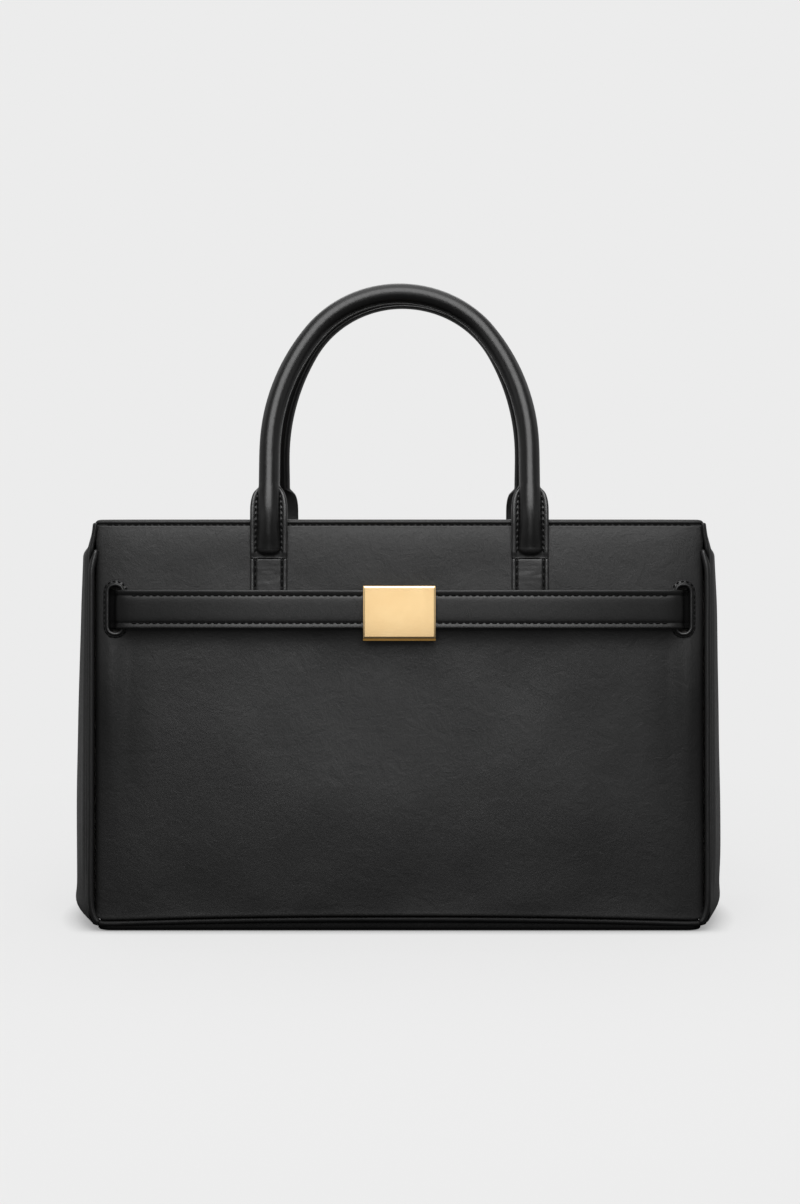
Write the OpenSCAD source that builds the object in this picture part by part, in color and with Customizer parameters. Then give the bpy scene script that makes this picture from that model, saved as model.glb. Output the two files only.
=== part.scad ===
// Top handle bag with rolled handles, piped seams and a belt through two slots.
// +Z is up, +X is the viewer's right, the front faces -Y. The origin is the middle of the base on the floor.

/* [Body] */
// Width of the front and back panels at their side seams
panel_w = 305; // [250:1:360]
// Height of the panels above the floor
body_h = 205.5; // [185:0.5:240]
// Depth across the two panels at the floor
base_d = 130; // [110:1:160]
// Depth across the two panels at the top edge
top_d = 110; // [96:1:126]
// Thickness of the panel, gusset and base leather
leather_t = 2.6; // [2:0.1:3]
// Thickness of the lining cloth
lining_t = 1; // [0.6:0.1:1.4]
// Room between a panel and its lining, where the reinforcements lie
inner_room = 2.5; // [2.2:0.1:4]
// Diameter of the piping along the side seams
piping_d = 3.6; // [2.6:0.1:4.4]
// Diameter of the piping along the bottom seams
bottom_piping_d = 3.4; // [2.6:0.1:4]

/* [Gussets] */
// How far a gusset swells out past its seams near the floor
belly = 12.8; // [4:0.2:20]
// How far it swells out just below its fold
upper_belly = 9.5; // [3:0.5:16]
// How far the fold is drawn in at the top edge
tuck = 14; // [6:0.5:22]
// Height of the folded stretch
fold_h = 19.5; // [14:0.5:30]
// Height over which the gusset rounds out from the base
foot_round_h = 18; // [10:0.5:30]

/* [Handles] */
// Distance between the centres of a handle's two legs
handle_span = 132; // [116:1:150]
// Height of a handle's centreline above its hinge line
handle_rise = 116; // [110:0.5:140]
// Diameter of the rolled leather
roll_d = 10.2; // [9:0.1:12]
// Diameter of the core inside the roll
core_d = 7; // [5:0.1:7.4]
// Inward lean of the handles at rest, in degrees
handle_lean = 17; // [8:0.5:19]

/* [Handle tabs] */
// Width of the tabs
tab_w = 18.6; // [15:0.2:24]
// Thickness of the upper tabs
tab_t = 2.4; // [1.6:0.1:3]
// Thickness of the lower tabs
lower_tab_t = 1; // [0.8:0.1:1.1]
// Height of an upper tab below the panel's top edge
tab_drop = 19.2; // [16:0.2:24]
// Length of the roll's end inside an upper tab
roll_drop = 15.6; // [10:0.2:16]
// Height of a lower tab, down behind the belt
lower_tab_h = 26; // [22:0.5:34]
// Height over which a tab narrows to the roll
flare_h = 12.5; // [9:0.5:20]

/* [Belt] */
// Width of the belt
belt_w = 19.6; // [14:0.2:24]
// Thickness of the belt
belt_t = 2; // [1.4:0.1:2.4]
// Height of the belt's middle on the panel
belt_height = 161; // [140:1:166]
// Distance of the slots' centres from the middle of the bag
slot_x = 142.3; // [110:0.1:144]
// Width of a slot
slot_w = 6.4; // [5:0.1:9]
// Clearance between the belt's edges and the slot's ends
slot_end_gap = 1.8; // [0.6:0.1:3]
// Width of the raised ring round a slot
ring_w = 3; // [2:0.1:4]
// Thickness of the ring
ring_t = 1; // [0.6:0.1:1.1]
// Thickness of the skived belt end behind the panel
belt_end_t = 1.6; // [1:0.1:1.8]
// Length of the belt end behind the panel
belt_end_l = 9; // [5:0.5:10]

/* [Clasp] */
// Width of the clasp's cover
clasp_w = 36.2; // [30:0.2:44]
// Height of the cover
clasp_h = 26.4; // [22.6:0.2:30]
// Thickness of the cover
cover_t = 2.8; // [2:0.1:3.4]
// Width of the bevel round the cover's face
bevel_w = 1.7; // [0.8:0.1:2.4]
// Depth of that bevel
bevel_d = 1.1; // [0.5:0.1:1.8]
// Thickness of the clasp's base plate
base_plate_t = 1; // [0.8:0.1:1.6]
// How far the base plate shows below the cover
base_plate_lip = 1.1; // [0.4:0.1:2]
// Diameter of the clasp's hinge pin
pin_d = 1; // [0.8:0.1:1]
// Outer diameter of the hinge's knuckles
knuckle_d = 1.8; // [1.6:0.1:1.8]
// Diameter of the rivets through the belt
rivet_d = 2.4; // [1.6:0.1:3]
// Diameter of the clasp's magnet
magnet_d = 4.4; // [3:0.1:4.6]

/* [Top snap] */
// Diameter of the magnetic snap inside the top edge
snap_d = 18; // [12:0.5:20]
// Thickness of each half
snap_t = 2.2; // [1.6:0.1:3]
// Diameter of the stud that seats in the socket
snap_stud_d = 6; // [4:0.2:8]
// Height of the facing inside the top edge
facing_h = 34; // [30:0.5:38]

/* [Hidden] */
$fn = 48;

// Clearances and overrun
seam_gap = 0.2;
edge_gap = 0.3;
cut = 1;

// Fixed proportions of this bag, as shares of the sizes they follow
crown_share = 0.879;
crown_arc = 60;
roll_end_shares = [0.94, 0.8, 0.5];
wing_foot_share = 0.6;
flare_shares = [[1, 0], [0.985, 0.18], [0.91, 0.42], [0.76, 0.64], [0.6, 0.83], [0.42, 1]];

// Places worked out from the sizes above
panel_tilt = atan((base_d - top_d) / 2 / body_h);
slant_h = body_h / cos(panel_tilt);
panel_foot = leather_t + bottom_piping_d + edge_gap + edge_gap / 2;
panel_lug = 1.6;
panel_lug_h = 7;
panel_corner_r = 2;
panel_foot_r = 5;
piping_top = slant_h - 2 * panel_lug_h - seam_gap;
roll_r = roll_d / 2;
piping_r = piping_d / 2;
piping_x = panel_w / 2 + edge_gap + piping_r;
piping_depth = piping_r + seam_gap;
gusset_edge_x = piping_x + piping_r - seam_gap;
gusset_inset = piping_depth + piping_r + edge_gap;
gusset_top_draw = 3;
gusset_curl_r = 5;
lining_depth = leather_t + inner_room;
facing_t = leather_t - lining_t - seam_gap;
facing_depth = lining_depth + facing_t;
facing_side_gap = 5;
backing_t = 1.4;
backing_share = 1.3;
washer_t = 0.6;
board_t = 2;
board_inset = 5;
base_corner_r = 6;
base_chamfer = 1.2;

// Heights of the stack on the base: board, then lining
board_z = leather_t + edge_gap;
base_lining_z = board_z + board_t + edge_gap;
wall_lining_z = base_lining_z + lining_t + edge_gap;

// Handle hinge line and arch
hinge_y = top_d / 2 + tab_t + seam_gap;
hinge_z = body_h + roll_r + edge_gap * 2 + seam_gap;
leg_x = handle_span / 2;
crown_r = crown_share * leg_x;
shoulder_r = (leg_x - crown_r * sin(crown_arc)) / (1 - sin(crown_arc));
leg_h = handle_rise - crown_r * (1 - cos(crown_arc)) - shoulder_r * cos(crown_arc);
core_gap = 0.1;
roll_wall = 0.5;

// Belt and clasp, as heights above the panel's face
belt_lift = max(lower_tab_t, ring_t) + seam_gap * 2;
slot_h = belt_w + slot_end_gap * 2;
belt_leg_x = slot_x - slot_w / 2 + edge_gap;
belt_top = belt_lift + belt_t;
base_plate_z = belt_top + seam_gap;
cover_z = base_plate_z + base_plate_t + seam_gap;
knuckle_r = knuckle_d / 2;
pin_y = belt_height + belt_w / 2 + knuckle_r + seam_gap;
pin_z = cover_z - edge_gap - knuckle_r;
pin_gap = 0.05;
cover_top = pin_y + knuckle_r;
cover_y = cover_top - clasp_h / 2;
knuckle_share = 0.3;
knuckle_gap = 0.2;
rivet_x_share = 0.3;
rivet_y_share = 0.28;
rivet_head_t = 0.6;
rivet_head_share = 1.5;
snap_y = slant_h - facing_h / 2;
snap_stud_h = 1.6;
snap_stud_gap = 0.2;

function mix(a, b, t) = a + (b - a) * t;
function clamp(t) = max(0, min(1, t));
function ease(t) = clamp(t) * clamp(t) * (3 - 2 * clamp(t));
// Half the depth of the body at height z, to the panels' outer faces
function face_y(z) = mix(base_d, top_d, z / body_h) / 2;

// Places children on the front panel: x across, y up the panel, z out of its face
module on_front() {
    translate([0, -base_d / 2, 0]) rotate([90 - panel_tilt, 0, 0]) children();
}
module on_back() {
    mirror([0, 1, 0]) on_front() children();
}
// Places children on a handle's hinge line: y up the handle, z away from the bag
module on_front_hinge() {
    translate([0, -hinge_y, hinge_z]) rotate([90 - handle_lean, 0, 0]) children();
}
module on_back_hinge() {
    mirror([0, 1, 0]) on_front_hinge() children();
}
module slab(z, t) {
    translate([0, 0, z]) linear_extrude(t) children();
}
module rounded_rect(w, h, r) {
    square([w - 2 * r, h], center = true);
    square([w, h - 2 * r], center = true);
    for (sx = [-1, 1], sy = [-1, 1]) translate([sx * (w / 2 - r), sy * (h / 2 - r)]) circle(r);
}

// Panels
module panel_outline() {
    w = panel_w / 2;
    top_w = w + panel_lug;
    shoulder = slant_h - 2 * panel_lug_h;
    foot = [for (a = [0:15:90]) [w - panel_foot_r * (1 - sin(a)), panel_foot + panel_foot_r * (1 - cos(a))]];
    corner = [for (a = [0:15:90]) [top_w - panel_corner_r * (1 - cos(a)), slant_h - panel_corner_r * (1 - sin(a))]];
    half = concat(foot, [[w, shoulder], [top_w, slant_h - panel_lug_h]], corner);
    last = len(half) - 1;
    polygon(concat(half, [for (i = [last:-1:0]) [-half[i][0], half[i][1]]]));
}
module slot_outline(grow) {
    rounded_rect(slot_w + 2 * grow, slot_h + 2 * grow, slot_w / 2 - edge_gap + grow);
}
module front_panel() {
    color("#2b2a2a") on_front() slab(-leather_t, leather_t) difference() {
        panel_outline();
        for (side = [-1, 1]) translate([side * slot_x, belt_height]) slot_outline(0);
    }
}
module back_panel() {
    color("#2b2a2a") on_back() slab(-leather_t, leather_t) panel_outline();
}

// Gussets: a sheet that swells out, rounds in at the foot and folds in at the top
curl_steps = 4;
side_steps = 5;
fold_steps = 7;
across_steps = 10;
gusset_foot = leather_t + edge_gap;
gusset_top = body_h - leather_t / 2;
function gusset_rows(foot) = concat(
    [for (i = [0:curl_steps - 1]) foot + foot_round_h * (1 - cos(90 * i / curl_steps))],
    [for (i = [0:side_steps - 1]) mix(foot + foot_round_h, body_h - fold_h, i / side_steps)],
    [for (i = [0:fold_steps]) mix(body_h - fold_h, gusset_top, i / fold_steps)]
);
function folded(z) = ease((z - body_h + fold_h) / fold_h);
function rounded_out(z) = sqrt(1 - pow(1 - clamp((z - gusset_foot) / foot_round_h), 2));
function curled_in(z) =
    gusset_curl_r * (1 - sqrt(1 - pow(1 - clamp((z - gusset_foot) / gusset_curl_r), 2)));
function swell(z) =
    mix(belly, upper_belly, z / body_h) * rounded_out(z) * (1 - folded(z)) - tuck * folded(z);
function gusset_x(u, z) =
    gusset_edge_x - gusset_top_draw * folded(z) - curled_in(z) + swell(z) * (1 - u * u);
function gusset_grid(depth, inset, foot) = [
    for (z = gusset_rows(foot)) [
        for (i = [0:across_steps])
            let (u = mix(-1, 1, i / across_steps), y = u * (face_y(z) - inset))
            [gusset_x(y / (face_y(z) - gusset_inset), z) - depth, y, z]
    ]
];
// A closed sheet between two grids of points, the first one outside
module sheet(outer, inner) {
    rows = len(outer);
    cols = len(outer[0]);
    count = rows * cols;
    points = concat([for (row = outer) each row], [for (row = inner) each row]);
    skin = [
        for (r = [0:rows - 2], c = [0:cols - 2])
            let (a = r * cols + c, b = a + 1, d = a + cols, e = d + 1)
            each [[a, d, b], [b, d, e], [count + a, count + b, count + d], [count + b, count + e, count + d]]
    ];
    rim = concat(
        [for (c = [0:cols - 2]) [c, c + 1]],
        [for (r = [0:rows - 2]) [r * cols + cols - 1, (r + 1) * cols + cols - 1]],
        [for (c = [cols - 1:-1:1]) [(rows - 1) * cols + c, (rows - 1) * cols + c - 1]],
        [for (r = [rows - 1:-1:1]) [r * cols, (r - 1) * cols]]
    );
    edge = [for (p = rim) each [[p[0], p[1], count + p[0]], [p[1], count + p[1], count + p[0]]]];
    polyhedron(points, concat(skin, edge), convexity = 6);
}
module right_gusset() {
    color("#262525") sheet(gusset_grid(0, gusset_inset, gusset_foot), gusset_grid(leather_t, gusset_inset, gusset_foot));
}
module left_gusset() {
    mirror([1, 0, 0]) right_gusset();
}
module right_lining() {
    depth = leather_t + 2 * edge_gap;
    inset = facing_depth + edge_gap * 2;
    color("#3a3532") sheet(gusset_grid(depth, inset, wall_lining_z), gusset_grid(depth + lining_t, inset, wall_lining_z));
}
module left_lining() {
    mirror([1, 0, 0]) right_lining();
}

// Base
module base_panel() {
    w = panel_w;
    d = base_d - 4 * edge_gap;
    color("#232222") hull() {
        slab(base_chamfer, leather_t - base_chamfer) rounded_rect(w, d, base_corner_r);
        slab(0, base_chamfer) rounded_rect(w - 2 * base_chamfer, d - 2 * base_chamfer, base_corner_r - base_chamfer);
    }
}
module base_board() {
    color("#6b5a44") slab(board_z, board_t)
        rounded_rect(panel_w - 2 * board_inset, base_d - 2 * board_inset, base_corner_r);
}
module base_lining() {
    color("#3a3532") slab(base_lining_z, lining_t)
        rounded_rect(panel_w - board_inset, base_d - 2 * board_inset, base_corner_r);
}

// Linings and facings of the two panels
wall_w = panel_w - 4 * edge_gap;
facing_w = panel_w - 2 * facing_side_gap;
module wall_lining() {
    foot = wall_lining_z + seam_gap;
    top = slant_h - facing_h - seam_gap;
    color("#3a3532") slab(-lining_depth - lining_t, lining_t)
        translate([-wall_w / 2, foot]) square([wall_w, top - foot]);
}
module facing() {
    color("#2b2a2a") slab(-facing_depth, facing_t)
        translate([-facing_w / 2, slant_h - facing_h]) square([facing_w, facing_h - edge_gap]);
}
module front_lining() { on_front() wall_lining(); }
module back_lining() { on_back() wall_lining(); }
module front_facing() { on_front() facing(); }
module back_facing() { on_back() facing(); }

// Reinforcement behind a panel, across both of its handle tabs
module handle_backing() {
    w = handle_span + backing_share * tab_w;
    top = slant_h - 2 * leather_t;
    foot = slant_h - tab_drop - lower_tab_h / 2;
    color("#4a4038") slab(-leather_t - seam_gap - backing_t, backing_t)
        translate([-w / 2, foot]) square([w, top - foot]);
}
module front_handle_backing() { on_front() handle_backing(); }
module back_handle_backing() { on_back() handle_backing(); }

// Piping
module side_piping(side) {
    color("#1f1e1e") translate([side * piping_x, panel_foot, -piping_depth])
        rotate([-90, 0, 0]) cylinder(h = piping_top - panel_foot, r = piping_r);
}
module front_left_piping() { on_front() side_piping(-1); }
module front_right_piping() { on_front() side_piping(1); }
module back_left_piping() { on_back() side_piping(-1); }
module back_right_piping() { on_back() side_piping(1); }
module front_bottom_piping() {
    r = bottom_piping_d / 2;
    l = panel_w - 4 * edge_gap;
    color("#1f1e1e") translate([-l / 2, -base_d / 2 + r + seam_gap, leather_t + edge_gap / 2 + r])
        rotate([0, 90, 0]) cylinder(h = l, r = r);
}
module back_bottom_piping() {
    mirror([0, 1, 0]) front_bottom_piping();
}

// Handles: a straight leg on each side, a wide arc over it and a tighter one across the top.
// A station is [x, height, direction of the arch's outer side].
shoulder_steps = 4;
crown_steps = 8;
crown_y = handle_rise - crown_r;
leg_rows = concat(
    [for (p = roll_end_shares) -p * roll_r],
    [for (p = flare_shares) p[1] * flare_h],
    [leg_h]
);
right_half = concat(
    [for (y = leg_rows) [leg_x, y, 0]],
    [
        for (i = [1:shoulder_steps])
            let (a = (90 - crown_arc) * i / shoulder_steps)
            [leg_x - shoulder_r + shoulder_r * cos(a), leg_h + shoulder_r * sin(a), a]
    ],
    [
        for (i = [1:crown_steps])
            let (a = mix(90 - crown_arc, 90, i / crown_steps))
            [crown_r * cos(a), crown_y + crown_r * sin(a), a]
    ]
);
left_half = [for (i = [len(right_half) - 2:-1:0]) let (s = right_half[i]) [-s[0], s[1], 180 - s[2]]];
arch_path = concat(right_half, left_half);
// The roll's radius, rounded off below the hinge line, and the tab's half width beside it
function roll_r_at(s) = s[1] < 0 ? sqrt(roll_r * roll_r - s[1] * s[1]) : roll_r;
function on_leg(s) = s[2] == 0 || s[2] == 180;
function wing_at(s) = on_leg(s) && s[1] > -wing_foot_share * roll_r && s[1] < flare_h + edge_gap
    ? tab_w / 2 * lookup(s[1] / flare_h, [for (p = flare_shares) [p[1], p[0]]])
    : 0;
wing_angle = asin(tab_t / roll_r);
upper_sides = 8;
lower_sides = 7;
section_angles = concat(
    [for (i = [0:upper_sides]) 180 * i / upper_sides],
    [for (i = [0:lower_sides]) mix(180 + wing_angle, 360 - wing_angle, i / lower_sides)]
);
function is_wing(a) = a == 0 || a == 180 || a == 180 + wing_angle || a == 360 - wing_angle;
function wing_point(a, r, wing) =
    [sign(cos(a)) * max(wing, r * abs(cos(a))), wing > r ? (a == 0 || a == 180 ? 0 : -tab_t) : r * sin(a)];
function placed(s, p) = [s[0] + p[0] * cos(s[2]), s[1] + p[0] * sin(s[2]), p[1]];
function roll_ring(s) = [
    for (a = section_angles)
        placed(s, is_wing(a) ? wing_point(a, roll_r_at(s), wing_at(s)) : roll_r_at(s) * [cos(a), sin(a)])
];
function round_ring(s, r, angles) = [for (a = angles) placed(s, r * [cos(a), sin(a)])];
// A tube along rings of points, hollow where a second list of rings is given
module swept(outer, inner = []) {
    rings = len(outer);
    n = len(outer[0]);
    count = rings * n;
    hollow = len(inner) > 0;
    points = concat([for (ring = outer) each ring], [for (ring = inner) each ring]);
    skin = [
        for (i = [0:rings - 2], k = [0:n - 1])
            let (a = i * n + k, b = i * n + (k + 1) % n, c = b + n, d = a + n)
            each [[a, b, c], [a, c, d]]
    ];
    bore = [for (f = hollow ? skin : []) [f[2] + count, f[1] + count, f[0] + count]];
    end = (rings - 1) * n;
    rims = [
        for (k = [0:n - 1])
            let (j = (k + 1) % n)
            each [
                [j, k, count + k], [j, count + k, count + j],
                [end + k, end + j, count + end + j], [end + k, count + end + j, count + end + k]
            ]
    ];
    caps = [[for (k = [n - 1:-1:0]) k], [for (k = [0:n - 1]) end + k]];
    polyhedron(points, concat(skin, bore, hollow ? rims : caps), convexity = 8);
}
module handle() {
    bore_r = core_d / 2 + core_gap;
    color("#222121") swept(
        [for (s = arch_path) roll_ring(s)],
        [for (s = arch_path) round_ring(s, min(bore_r, roll_r_at(s) - roll_wall), section_angles)]
    );
}
core_sides = 12;
module handle_core() {
    angles = [for (i = [0:core_sides - 1]) 360 * i / core_sides];
    ends = len(roll_end_shares);
    path = [for (i = [ends:len(arch_path) - 1 - ends]) arch_path[i]];
    color("#8a8378") swept([for (s = path) round_ring(s, core_d / 2, angles)]);
}
module front_handle() { on_front_hinge() handle(); }
module front_handle_core() { on_front_hinge() handle_core(); }
module back_handle() { on_back_hinge() handle(); }
module back_handle_core() { on_back_hinge() handle_core(); }

// Tabs that hold the ends of the rolls on the panels
module tab(side) {
    top = slant_h + edge_gap;
    w = tab_w;
    axis_z = tab_t + seam_gap;
    color("#222121") translate([side * leg_x, 0, 0]) {
        slab(seam_gap, tab_t) translate([-w / 2, slant_h - tab_drop]) square([w, top - slant_h + tab_drop]);
        intersection() {
            translate([0, slant_h - roll_drop + roll_r, axis_z]) {
                sphere(roll_r);
                rotate([-90, 0, 0]) cylinder(h = top - slant_h + roll_drop - roll_r, r = roll_r);
            }
            slab(axis_z - seam_gap, roll_d) translate([-w / 2, 0]) square([w, top]);
        }
    }
}
module lower_tab(side) {
    top = slant_h - tab_drop - seam_gap;
    color("#2b2a2a") slab(seam_gap, lower_tab_t)
        translate([side * leg_x - tab_w / 2, top - lower_tab_h]) square([tab_w, lower_tab_h]);
}
module front_left_tab() { on_front() tab(-1); }
module front_right_tab() { on_front() tab(1); }
module back_left_tab() { on_back() tab(-1); }
module back_right_tab() { on_back() tab(1); }
module front_left_lower_tab() { on_front() lower_tab(-1); }
module front_right_lower_tab() { on_front() lower_tab(1); }
module back_left_lower_tab() { on_back() lower_tab(-1); }
module back_right_lower_tab() { on_back() lower_tab(1); }

// Belt: seen from its edge, x along it and y out of the panel
module belt_profile() {
    x = belt_leg_x;
    back = -leather_t - seam_gap;
    translate([seam_gap / 2, belt_lift]) square([x - seam_gap / 2, belt_t]);
    intersection() {
        translate([x, belt_lift]) circle(belt_t);
        translate([x, belt_lift]) square(belt_t);
    }
    translate([x, back - belt_end_t]) square([belt_t, belt_lift - back + belt_end_t]);
    translate([x, back - belt_end_t]) square([belt_end_l, belt_end_t]);
}
module rivet_places() {
    for (sy = [-1, 1]) translate([rivet_x_share * clasp_w, belt_height + sy * rivet_y_share * belt_w]) children();
}
module stud_place() {
    translate([rivet_x_share * clasp_w, belt_height]) children();
}
module belt_blank() {
    translate([0, belt_height + belt_w / 2, 0]) rotate([90, 0, 0]) linear_extrude(belt_w) belt_profile();
}
module left_belt() {
    color("#2b2a2a") on_front() mirror([1, 0, 0]) difference() {
        belt_blank();
        slab(0, belt_top + cut) rivet_places() circle(rivet_d / 2 + pin_gap);
    }
}
module right_belt() {
    color("#2b2a2a") on_front() difference() {
        belt_blank();
        slab(0, belt_top + cut) stud_place() circle(rivet_d / 2 + pin_gap);
    }
}
module slot_ring(side) {
    color("#222121") on_front() slab(seam_gap / 2, ring_t) translate([side * slot_x, belt_height]) difference() {
        slot_outline(ring_w);
        slot_outline(0);
    }
}
module left_slot_ring() { slot_ring(-1); }
module right_slot_ring() { slot_ring(1); }

// Clasp: a base plate riveted to the left belt end, a stud on the right one, and a hinged cover over both
inner_knuckle_l = clasp_w * (1 - 2 * knuckle_share);
outer_knuckle_l = clasp_w * knuckle_share - 2 * knuckle_gap;
module pin_bore() {
    translate([-clasp_w, pin_y, pin_z]) rotate([0, 90, 0]) cylinder(h = 2 * clasp_w, r = pin_d / 2 + pin_gap);
}
module clasp_base() {
    foot = cover_top - clasp_h - base_plate_lip;
    top = pin_y - knuckle_r - seam_gap;
    x = -inner_knuckle_l / 2;
    color("#c8a063") on_front() difference() {
        union() {
            slab(base_plate_z, base_plate_t) translate([-clasp_w / 2, foot]) square([clasp_w, top - foot]);
            translate([x, pin_y, pin_z]) rotate([0, 90, 0]) cylinder(h = inner_knuckle_l, r = knuckle_r);
            slab(base_plate_z, pin_z + knuckle_r - base_plate_z)
                translate([x, top - cut]) square([inner_knuckle_l, pin_y - top + cut]);
        }
        pin_bore();
        slab(0, cover_z) {
            mirror([1, 0]) rivet_places() circle(rivet_d / 2 + pin_gap);
            stud_place() circle(rivet_d / 2 + pin_gap);
            magnet_place() circle(magnet_d / 2 + pin_gap);
        }
    }
}
module magnet_place() {
    translate([0, (cover_top - clasp_h - base_plate_lip + belt_height - belt_w / 2) / 2]) children();
}
module clasp_cover() {
    face_w = clasp_w - 2 * bevel_w;
    face_h = clasp_h - 2 * bevel_w;
    x = clasp_w / 2 - outer_knuckle_l;
    color("#e2bd7c") on_front() difference() {
        union() {
            hull() {
                slab(cover_z, cover_t - bevel_d) translate([0, cover_y]) square([clasp_w, clasp_h], center = true);
                slab(cover_z, cover_t) translate([0, cover_y]) square([face_w, face_h], center = true);
            }
            for (side = [0, 1]) mirror([side, 0, 0]) {
                translate([x, pin_y, pin_z]) rotate([0, 90, 0]) cylinder(h = outer_knuckle_l, r = knuckle_r);
                translate([x, pin_y - knuckle_r, pin_z])
                    cube([outer_knuckle_l, knuckle_d, cover_z + bevel_d / 2 - pin_z]);
            }
        }
        pin_bore();
    }
}
module clasp_pin() {
    l = clasp_w - 2 * seam_gap;
    color("#b58d50") on_front() translate([-l / 2, pin_y, pin_z]) rotate([0, 90, 0]) cylinder(h = l, r = pin_d / 2);
}
module clasp_magnet() {
    color("#777777") on_front() slab(base_plate_z, base_plate_t) magnet_place() circle(magnet_d / 2);
}
// A shank flush with the base plate, with a flat head behind the belt
module rivet() {
    head_z = belt_lift - seam_gap / 2 - rivet_head_t;
    slab(head_z, base_plate_z + base_plate_t - head_z) circle(rivet_d / 2);
    slab(head_z, rivet_head_t) circle(rivet_d / 2 * rivet_head_share);
}
module clasp_rivets() {
    color("#b58d50") on_front() mirror([1, 0, 0]) for (sy = [-1, 1])
        translate([rivet_x_share * clasp_w, belt_height + sy * rivet_y_share * belt_w, 0]) rivet();
}
module belt_stud() {
    color("#b58d50") on_front() translate([rivet_x_share * clasp_w, belt_height, 0]) rivet();
}

// Magnetic snap on the facings, with a washer behind each half
module front_snap() {
    color("#b58d50") on_front() translate([0, snap_y, -facing_depth - seam_gap / 2 - snap_t]) difference() {
        cylinder(h = snap_t, d = snap_d);
        translate([0, 0, -cut]) cylinder(h = snap_stud_h + snap_stud_gap + cut, d = snap_stud_d + 2 * snap_stud_gap);
    }
}
module back_snap() {
    color("#b58d50") on_back() translate([0, snap_y, -facing_depth - seam_gap / 2 - snap_t]) {
        cylinder(h = snap_t, d = snap_d);
        translate([0, 0, -snap_stud_h]) cylinder(h = snap_stud_h + snap_t / 2, d = snap_stud_d);
    }
}
module snap_washer() {
    depth = leather_t + backing_t + seam_gap + edge_gap / 3;
    color("#777777") slab(-depth - washer_t, washer_t) translate([0, snap_y]) difference() {
        circle(d = snap_d);
        circle(d = snap_stud_d);
    }
}
module front_snap_washer() { on_front() snap_washer(); }
module back_snap_washer() { on_back() snap_washer(); }

front_panel();
back_panel();
left_gusset();
right_gusset();
base_panel();
base_board();
front_lining();
back_lining();
left_lining();
right_lining();
base_lining();
front_facing();
back_facing();
front_handle_backing();
back_handle_backing();
front_left_piping();
front_right_piping();
back_left_piping();
back_right_piping();
front_bottom_piping();
back_bottom_piping();
front_handle();
front_handle_core();
back_handle();
back_handle_core();
front_left_tab();
front_right_tab();
back_left_tab();
back_right_tab();
front_left_lower_tab();
front_right_lower_tab();
back_left_lower_tab();
back_right_lower_tab();
left_belt();
right_belt();
left_slot_ring();
right_slot_ring();
clasp_base();
clasp_cover();
clasp_pin();
clasp_magnet();
clasp_rivets();
belt_stud();
front_snap();
back_snap();
front_snap_washer();
back_snap_washer();
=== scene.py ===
import math

import bmesh
import bpy
from mathutils import Matrix, Vector, noise


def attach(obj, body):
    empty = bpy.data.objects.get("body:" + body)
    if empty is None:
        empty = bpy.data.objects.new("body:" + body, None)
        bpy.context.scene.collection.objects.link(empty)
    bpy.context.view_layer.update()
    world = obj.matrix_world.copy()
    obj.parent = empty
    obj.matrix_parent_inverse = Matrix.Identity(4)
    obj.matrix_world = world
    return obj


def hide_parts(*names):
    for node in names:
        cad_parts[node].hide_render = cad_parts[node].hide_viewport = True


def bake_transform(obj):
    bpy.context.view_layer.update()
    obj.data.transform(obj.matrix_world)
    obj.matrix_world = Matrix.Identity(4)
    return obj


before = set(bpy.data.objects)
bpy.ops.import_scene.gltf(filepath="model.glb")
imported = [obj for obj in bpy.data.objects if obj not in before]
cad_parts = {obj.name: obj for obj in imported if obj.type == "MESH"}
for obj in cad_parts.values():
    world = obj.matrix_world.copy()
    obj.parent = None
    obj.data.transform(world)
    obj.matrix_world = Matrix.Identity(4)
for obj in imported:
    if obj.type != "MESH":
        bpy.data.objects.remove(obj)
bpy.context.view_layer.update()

# Every length of a piece is in millimetres, and each finished mesh is scaled to metres.
MM = 0.001
FRONT, BACK = -1, 1
LEFT, RIGHT = -1, 1
SIDES = {FRONT: "front", BACK: "back"}
HANDS = {LEFT: "left", RIGHT: "right"}

# Body
PANEL_HALF = 152.5
BODY_H = 205.5
BASE_D = 130.0
TOP_D = 110.0
TILT = math.atan((BASE_D - TOP_D) / 2 / BODY_H)
SLANT_H = BODY_H / math.cos(TILT)
PANEL_FOOT = 6.45
LUG, LUG_H = 0.5, 7.0
LUG_FOOT = SLANT_H - 2 * LUG_H
STITCH_LINE = SLANT_H - 2.6
STITCH_PITCH = 3.3

# Thickness of the drawn leather and cloth
PANEL_WALL, GUSSET_WALL, FACING_WALL, LOWER_TAB_WALL, LINING_WALL = 1.15, 1.8, 1.2, 0.85, 0.6

# Gussets
GUSSET_EDGE_X = 156.2
GUSSET_INSET = 4.1
GUSSET_FOOT, GUSSET_TOP = 2.9, 204.2
BELLY_AT = [(0, 12.2), (30, 12.0), (111, 10.5), (163, 9.2), (175, 8.4), (185, 7.8), (206, 7.0)]
TUCK = 13.0
FOLD_H, FOOT_ROUND_H, CURL_R = 18.5, 9.5, 4.5

# Handles
ROLL_R = 5.1
TAB_HALF = 9.35
TAB_T = 2.4
TAB_FOOT = SLANT_H - 19.2
HINGE_Y, HINGE_Z = 57.6, 211.4
LEAN = math.radians(17)
LEG_X = {FRONT: 65.4, BACK: 66.2}
RISE = {FRONT: 114.9, BACK: 115.9}
CROWN_R = {FRONT: 55.3, BACK: 57.8}
CROWN_ARC = {FRONT: math.radians(52.2), BACK: math.radians(59.8)}
# The back handle is sewn on a little to the right of the front one.
HANDLE_SHIFT = {FRONT: 0.0, BACK: 1.5}
FLARE_H = 12.6
LOWER_TAB_H = 26.0

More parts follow.
